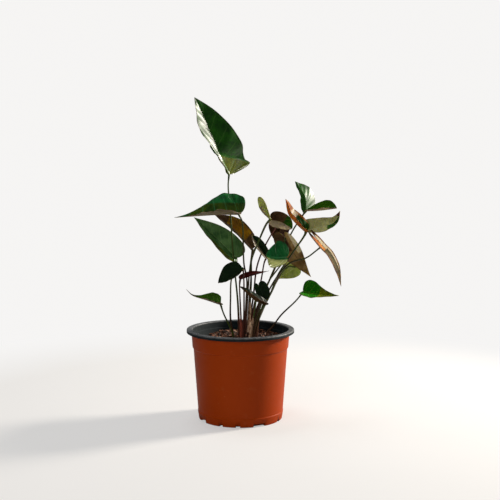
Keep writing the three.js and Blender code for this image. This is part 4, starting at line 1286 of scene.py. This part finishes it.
def lay_maps(mesh, faces, corners, rim, grids, count, across):
    """The flat and the vein coordinates of every face's corners, on both skins and the margin."""
    last_seen = {}
    for face, kept in zip(faces, corners):
        last_seen.update(zip(face, kept))
    every = [corner for kept in corners for corner in kept]
    every += [corner for kept in corners for corner in reversed(kept)]
    for a, b in rim:
        every += [last_seen[a], last_seen[b], last_seen[b], last_seen[a]]
    flat = np.array([(grids[h]["x"][r, c], grids[h]["y"][r, c]) for h, r, c in every]) * MM
    veins = np.array([(count[r], 0.5 + 0.5 * (1 - 2 * h) * across[c]) for h, r, c in every])
    mesh.uv_layers.new(name="flat").data.foreach_set("uv", flat.ravel())
    mesh.uv_layers.new(name="veins").data.foreach_set("uv", veins.ravel())


# %% Build a blade
def sheet_normals(place, faces):
    normals = np.zeros_like(place)
    for face in faces:
        a, b, c = place[face[:3]]
        normals[face] += np.cross(b - a, c - a)
    return unit(normals)


def crisp_margin(mesh, rim, size):
    """Marks the edges where the margin's wall meets the two skins as sharp."""
    pairs = {frozenset((a + skin, b + skin)) for a, b in rim for skin in (0, size)}
    sharp = [frozenset(edge.vertices) in pairs for edge in mesh.edges]
    mesh.attributes.new("sharp_edge", "BOOLEAN", "EDGE").data.foreach_set("value", sharp)


def build_blade(name, leaf, phase):
    grids, count, across, root = blade_grids(leaf, phase)
    spots, faces, corners, margin = blade_sheet(root)
    rim = list(zip(margin, margin[1:] + margin[:1]))
    place = np.array([grids[half]["points"][row, column] for half, row, column in spots])
    lift = np.array([[grids[half]["lift"][row, column]] for half, row, column in spots])
    on_rib = [1 - root[row] / leaf["length"] if column == 0 else 0.0 for _, row, column in spots]
    on_rib = np.array(on_rib)[:, None]
    normals = sheet_normals(place, faces)
    upper = place + normals * (BLADE_HALF + lift - RIB_GROOVE * on_rib)
    lower = place - normals * (BLADE_HALF - lift + RIB_RIDGE * on_rib)
    size = len(place)
    under = [[vertex + size for vertex in reversed(face)] for face in faces]
    wall = [[a, b, b + size, a + size] for a, b in rim]
    skins = [finish_of(leaf["look"][0], False), finish_of(leaf["look"][1], True)]
    blade = mesh_object("leaf_" + name, np.vstack([upper, lower]), faces + under + wall, skins)
    skin_of_face = [0] * len(faces) + [1] * len(under + wall)
    blade.data.polygons.foreach_set("material_index", skin_of_face)
    lay_maps(blade.data, faces, corners, rim, grids, count, across)
    store_shares(blade.data, leaf, spots, grids, across)
    crisp_margin(blade.data, rim, size)
    return blade


BRONZE_SLOT = ("bronze", "right_bronze", "dark_back", "orange", "furled")
PHASE_STEP = 0.37
for order, (name, leaf) in enumerate(LEAVES.items()):
    blade = build_blade(name, leaf, PHASE_STEP * order)
    settle(blade, "leaf_bronze" if name in BRONZE_SLOT else "leaf_green", "blade_" + name)
print("blades:", len(LEAVES), "with", len(blade.data.polygons), "faces each")

# %% [markdown]
# ## The stalks
# A stalk is a tube along a path, thick at the foot, slim above and with a swollen knee just under
# the blade, which lets the real leaf turn to the light. Geometry Nodes sweep a circle along the
# path and scale it by how far down it is. That same share is stored for the material, which goes
# from olive at the top to maroon at the foot. No two stalks are the same age, so each also draws
# a tint from a fixed seed, and the greener and the redder ones stand among the brown.


# %% Stalk material
STALK_OLIVE = (0.050, 0.065, 0.015)
STALK_BROWN = (0.040, 0.022, 0.010)
STALK_GREEN = (0.050, 0.085, 0.012)
STALK_RED = (0.085, 0.020, 0.016)
STALK_MAROON = (0.080, 0.022, 0.014)
STALK_FLECK = (0.16, 0.12, 0.05)


def stalk_skin():
    material, tree, shader = new_material("stalk_skin")
    place = object_place(tree)
    wander = times(tree, plus(tree, grain(tree, place, 25.0, 2.0), -0.5), 0.7)
    share = plus(tree, attribute(tree, "down"), wander)
    tint = attribute(tree, "tint")
    body = blend(tree, soft_step(tree, share, 0.05, 0.55), STALK_OLIVE, STALK_BROWN)
    body = blend(tree, soft_step(tree, tint, 0.35, 0.25), body, STALK_GREEN)
    body = blend(tree, soft_step(tree, tint, 0.60, 0.75), body, STALK_RED)
    body = blend(tree, soft_step(tree, share, 0.60, 0.95), body, STALK_MAROON)
    flecks = soft_step(tree, grain(tree, place, 700.0, 3.0), 0.55, 0.68)
    body = blend(tree, times(tree, flecks, 0.35), body, STALK_FLECK)
    coat(tree, shader, body, 0.36)
    bump(tree, shader, grain(tree, place, 500.0, 3.0), 0.0001, 0.5)
    return material


# %% Stalk tree
STALK_SIZES = {"Top": 1.0 * MM, "Shaft": 1.15 * MM, "Foot": 1.7 * MM, "Knee": 0.5 * MM}
KNEE_LENGTH = 11.0
STALK_SIDES = 14


def stalk_tree(material):
    inputs = [(label, "Float") for label in ("Top", "Shaft", "Foot", "Knee", "Knee share", "Tint")]
    tree, start, end = node_group("Stalk", inputs)
    down = node(tree, "GeometryNodeSplineParameter").outputs["Factor"]

    def ramp(low, high, first, second):
        """From the first size to the second between two shares of the way down."""
        made = node(tree, "ShaderNodeMapRange", interpolation_type="SMOOTHSTEP")
        plug(tree, down, made.inputs["Value"])
        for key, value in zip(("From Min", "From Max", "To Min", "To Max"), (low, high, first, second)):
            plug(tree, value, made.inputs[key])
        return made.outputs["Result"]

    shaft = ramp(0.0, 0.5, start.outputs["Top"], start.outputs["Shaft"])
    foot = ramp(0.5, 1.0, 0.0, calc(tree, "SUBTRACT", start.outputs["Foot"], start.outputs["Shaft"]))
    swell = ramp(0.0, start.outputs["Knee share"], start.outputs["Knee"], 0.0)
    radius = plus(tree, plus(tree, shaft, foot), swell)
    stored = store(tree, start.outputs["Geometry"], "down", down)
    stored = store(tree, stored, "tint", start.outputs["Tint"])
    section = node(tree, "GeometryNodeCurvePrimitiveCircle", {"Resolution": STALK_SIDES, "Radius": 1.0})
    swept = node(tree, "GeometryNodeCurveToMesh", {
        "Curve": stored,
        "Profile Curve": section.outputs["Curve"],
        "Scale": radius,
        "Fill Caps": True,
    })
    dress(tree, swept.outputs["Mesh"], material, end)
    return tree


# %% Sweep the stalks
PATH_STEP = 3.5
FEWEST_STEPS = 24
FOOT_RISE = 6.0


def stalk_path(leaf):
    """From the blade down through the leaf's own points to a straight foot in the mix."""
    x, y = leaf["foot"]
    feet = [(x, y, SOIL_TOP + FOOT_RISE), (x, y, SOIL_TOP - ROOT_DEPTH)]
    return Smooth([blade_base(leaf), *leaf["stalk"], *feet])


def path_shares(path):
    """Shares of the path a few millimetres apart."""
    return np.linspace(0, 1, max(FEWEST_STEPS, round(path.length / PATH_STEP)) + 1)


def path_object(name, places):
    """A curve of short straight steps through the places, in millimetres."""
    curve = bpy.data.curves.new(name, "CURVE")
    curve.dimensions = "3D"
    spline = curve.splines.new("POLY")
    spline.points.add(len(places) - 1)
    spline.points.foreach_set("co", np.hstack([places * MM, np.ones((len(places), 1))]).ravel())
    made = bpy.data.objects.new(name, curve)
    bpy.context.scene.collection.objects.link(made)
    return made


def smooth_tube(made):
    """Smooth shading all round, and every face outwards."""
    made.data.polygons.foreach_set("use_smooth", [True] * len(made.data.polygons))
    face_outwards(made)


TINT_SEED = 50
tints = np.random.default_rng(TINT_SEED).permutation(len(LEAVES)) / len(LEAVES)
sweep = stalk_tree(stalk_skin())
for (name, leaf), tint in zip(LEAVES.items(), tints):
    path = stalk_path(leaf)
    sizes = {**STALK_SIZES, "Knee share": KNEE_LENGTH / path.length, "Tint": float(tint)}
    stalk = with_tree(path_object("stem_" + name, path.point(path_shares(path))), sweep, sizes)
    smooth_tube(stalk)
    settle(stalk, "leaf_stalk", "stalk_" + name)
print("stalks:", len(LEAVES), "the last is", round(max(stalk.dimensions) * 1000), "mm long")

# %% [markdown]
# ## Papery sheaths
# A young leaf comes out of a thin sheath that dries to tan paper and stays around the foot of the
# stalk. It could be a sheet of its own, but it shows only as a pale, loose sleeve. So each one is
# the stalk's sweep again, along a short length of the stalk, narrow at the top and loose below, and
# a fine noise then crumples it.

# %% Papery sheaths
# The leaf whose stalk has it, the shares of the path where it starts and ends, and its tint.
SHEATHS = {
    "small_top": (0.60, 0.86, 0.1),
    "furled": (0.50, 0.84, 0.9),
    "dark_back": (0.66, 0.86, 0.3),
    "low_heart": (0.45, 0.80, 0.2),
    "edge": (0.62, 0.86, 0.7),
}
SHEATH_SIZES = {"Top": 0.9 * MM, "Shaft": 2.3 * MM, "Foot": 2.2 * MM, "Knee": 0.0, "Knee share": 0.2}
SHEATH_STEPS = 24
# The light and the deep tone of a tan sheath and of a reddish one.
TAN_PAPER = ((0.80, 0.58, 0.40), (0.38, 0.21, 0.12))
RED_PAPER = ((0.40, 0.11, 0.07), (0.15, 0.030, 0.020))
PAPER_STAIN = (0.06, 0.028, 0.014)
FIBRE_DRAW = (1.0, 1.0, 0.06)
CRUMPLE = 0.5
CRUMPLES_PER_METRE = 260.0


def sheath_paper():
    """Dry sheath: tan or reddish, in long fibres down the stalk."""
    material, tree, shader = new_material("sheath_paper")
    place = object_place(tree)
    drawn = node(tree, "ShaderNodeVectorMath", {0: place, 1: FIBRE_DRAW}, operation="MULTIPLY")
    fibres = soft_step(tree, grain(tree, drawn.outputs["Vector"], 900.0, 4.0), 0.35, 0.65)
    reddish = soft_step(tree, attribute(tree, "tint"), 0.4, 0.6)
    light, deep = (blend(tree, reddish, *tones) for tones in zip(TAN_PAPER, RED_PAPER))
    body = blend(tree, fibres, deep, light)
    torn = soft_step(tree, grain(tree, place, 220.0, 4.0), 0.55, 0.66)
    body = blend(tree, times(tree, torn, 0.7), body, PAPER_STAIN)
    coat(tree, shader, body, 0.75, specular=0.25)
    bump(tree, shader, fibres, 0.0002, 0.6)
    return material


paper_sweep = stalk_tree(sheath_paper())
for name, (first, last, tint) in SHEATHS.items():
    path = stalk_path(LEAVES[name])
    places = path.point(np.linspace(first, last, SHEATH_STEPS))
    sheath = with_tree(path_object("paper_" + name, places), paper_sweep, {**SHEATH_SIZES, "Tint": tint})
    places = [Vector(vert.co) for vert in sheath.data.vertices]
    steps = [noise.noise(place * CRUMPLES_PER_METRE) * CRUMPLE * MM for place in places]
    for vert, step in zip(sheath.data.vertices, steps):
        vert.co += vert.normal * step
    smooth_tube(sheath)
    settle(sheath)
print("sheaths:", len(SHEATHS))

# %% [markdown]
# ## Floor, backdrop and light
# The plant stands on a plain pale floor that fades into an equally pale surround, so no horizon
# cuts the picture. One bright round lamp stands to the right and a little behind: it rakes the pot,
# glances off the waxy blades and shines through the thin ones. It is the only lamp that the skins
# mirror, so only a blade that faces it shows glare. Three wide, weak lamps behind, in front and
# above keep the shadows open.

# %% Floor and surround
SURROUND = (0.92, 0.91, 0.90)
FLOOR_RADIUS = 8.0
FLOOR_LIFT = 0.5
FLOOR_FADE = (0.14, 0.70)
FLOOR_TONES = ((0.78, 0.77, 0.75), (0.82, 0.81, 0.79))
AMBIENT = 0.07


def pale_level(tree):
    """The surround is bright to the eye, and lights the plant only faintly."""
    seen = node(tree, "ShaderNodeLightPath").outputs["Is Camera Ray"]
    return calc(tree, "MULTIPLY_ADD", seen, 1.0 - AMBIENT, AMBIENT)


def pale_floor():
    material, tree, shader = new_material("pale_floor")
    place = object_place(tree)
    distance = node(tree, "ShaderNodeVectorMath", {0: place}, operation="LENGTH").outputs["Value"]
    away = calc(tree, "MAXIMUM", soft_step(tree, distance, *FLOOR_FADE), FLOOR_LIFT)
    coat(tree, shader, blend(tree, grain(tree, place, 6.0, 3.0), *FLOOR_TONES), 0.8)
    glow = node(tree, "ShaderNodeEmission", {"Color": (*SURROUND, 1.0), "Strength": pale_level(tree)})
    mixed = node(tree, "ShaderNodeMixShader", {"Fac": away})
    tree.links.new(shader.outputs["BSDF"], mixed.inputs[1])
    tree.links.new(glow.outputs["Emission"], mixed.inputs[2])
    tree.links.new(mixed.outputs["Shader"], tree.nodes["Material Output"].inputs["Surface"])
    return material


turns = np.linspace(0, 2 * np.pi, 96, endpoint=False)
disc = [(FLOOR_RADIUS / MM * math.cos(a), FLOOR_RADIUS / MM * math.sin(a), 0.0) for a in turns]
floor = mesh_object("floor", disc, [list(range(len(disc)))], [pale_floor()], smooth=False)
print("floor:", FLOOR_RADIUS, "m in radius")

world = bpy.data.worlds.new("surround")
bpy.context.scene.world = world
world.use_nodes = True
sky = world.node_tree
background = sky.nodes["Background"]
background.inputs["Color"].default_value = (*SURROUND, 1.0)
sky.links.new(pale_level(sky), background.inputs["Strength"])


# %% Lamps
LAMP_TARGET = Vector((0.0, 0.0, 0.22))
LAMPS = {
    "key": dict(place=(1.38, 0.57, 0.80), size=0.34, power=46.0, colour=(1.0, 0.92, 0.82), mirrored=True),
    "wall": dict(place=(0.1, 1.7, 0.75), size=1.9, power=4.0, colour=(1.0, 0.99, 0.98), mirrored=False),
    "fill": dict(place=(-0.9, -1.6, 0.7), size=1.0, power=9.5, colour=(1.0, 0.98, 0.95), mirrored=False),
    "top": dict(place=(-0.3, 0.3, 1.7), size=0.8, power=9.0, colour=(0.95, 0.97, 1.0), mirrored=False),
}


def soft_lamp(name, place, size, power, colour, mirrored):
    """A round lamp that faces the middle of the plant, and whether the waxy skins mirror it."""
    data = bpy.data.lights.new(name, "AREA")
    data.shape = "DISK"
    data.size = size
    data.energy = power
    data.color = colour
    lamp = bpy.data.objects.new(name, data)
    lamp.location = place
    lamp.visible_glossy = mirrored
    lamp.rotation_euler = (LAMP_TARGET - Vector(place)).to_track_quat("-Z", "Y").to_euler()
    bpy.context.scene.collection.objects.link(lamp)


for name, settings in LAMPS.items():
    soft_lamp(name, **settings)
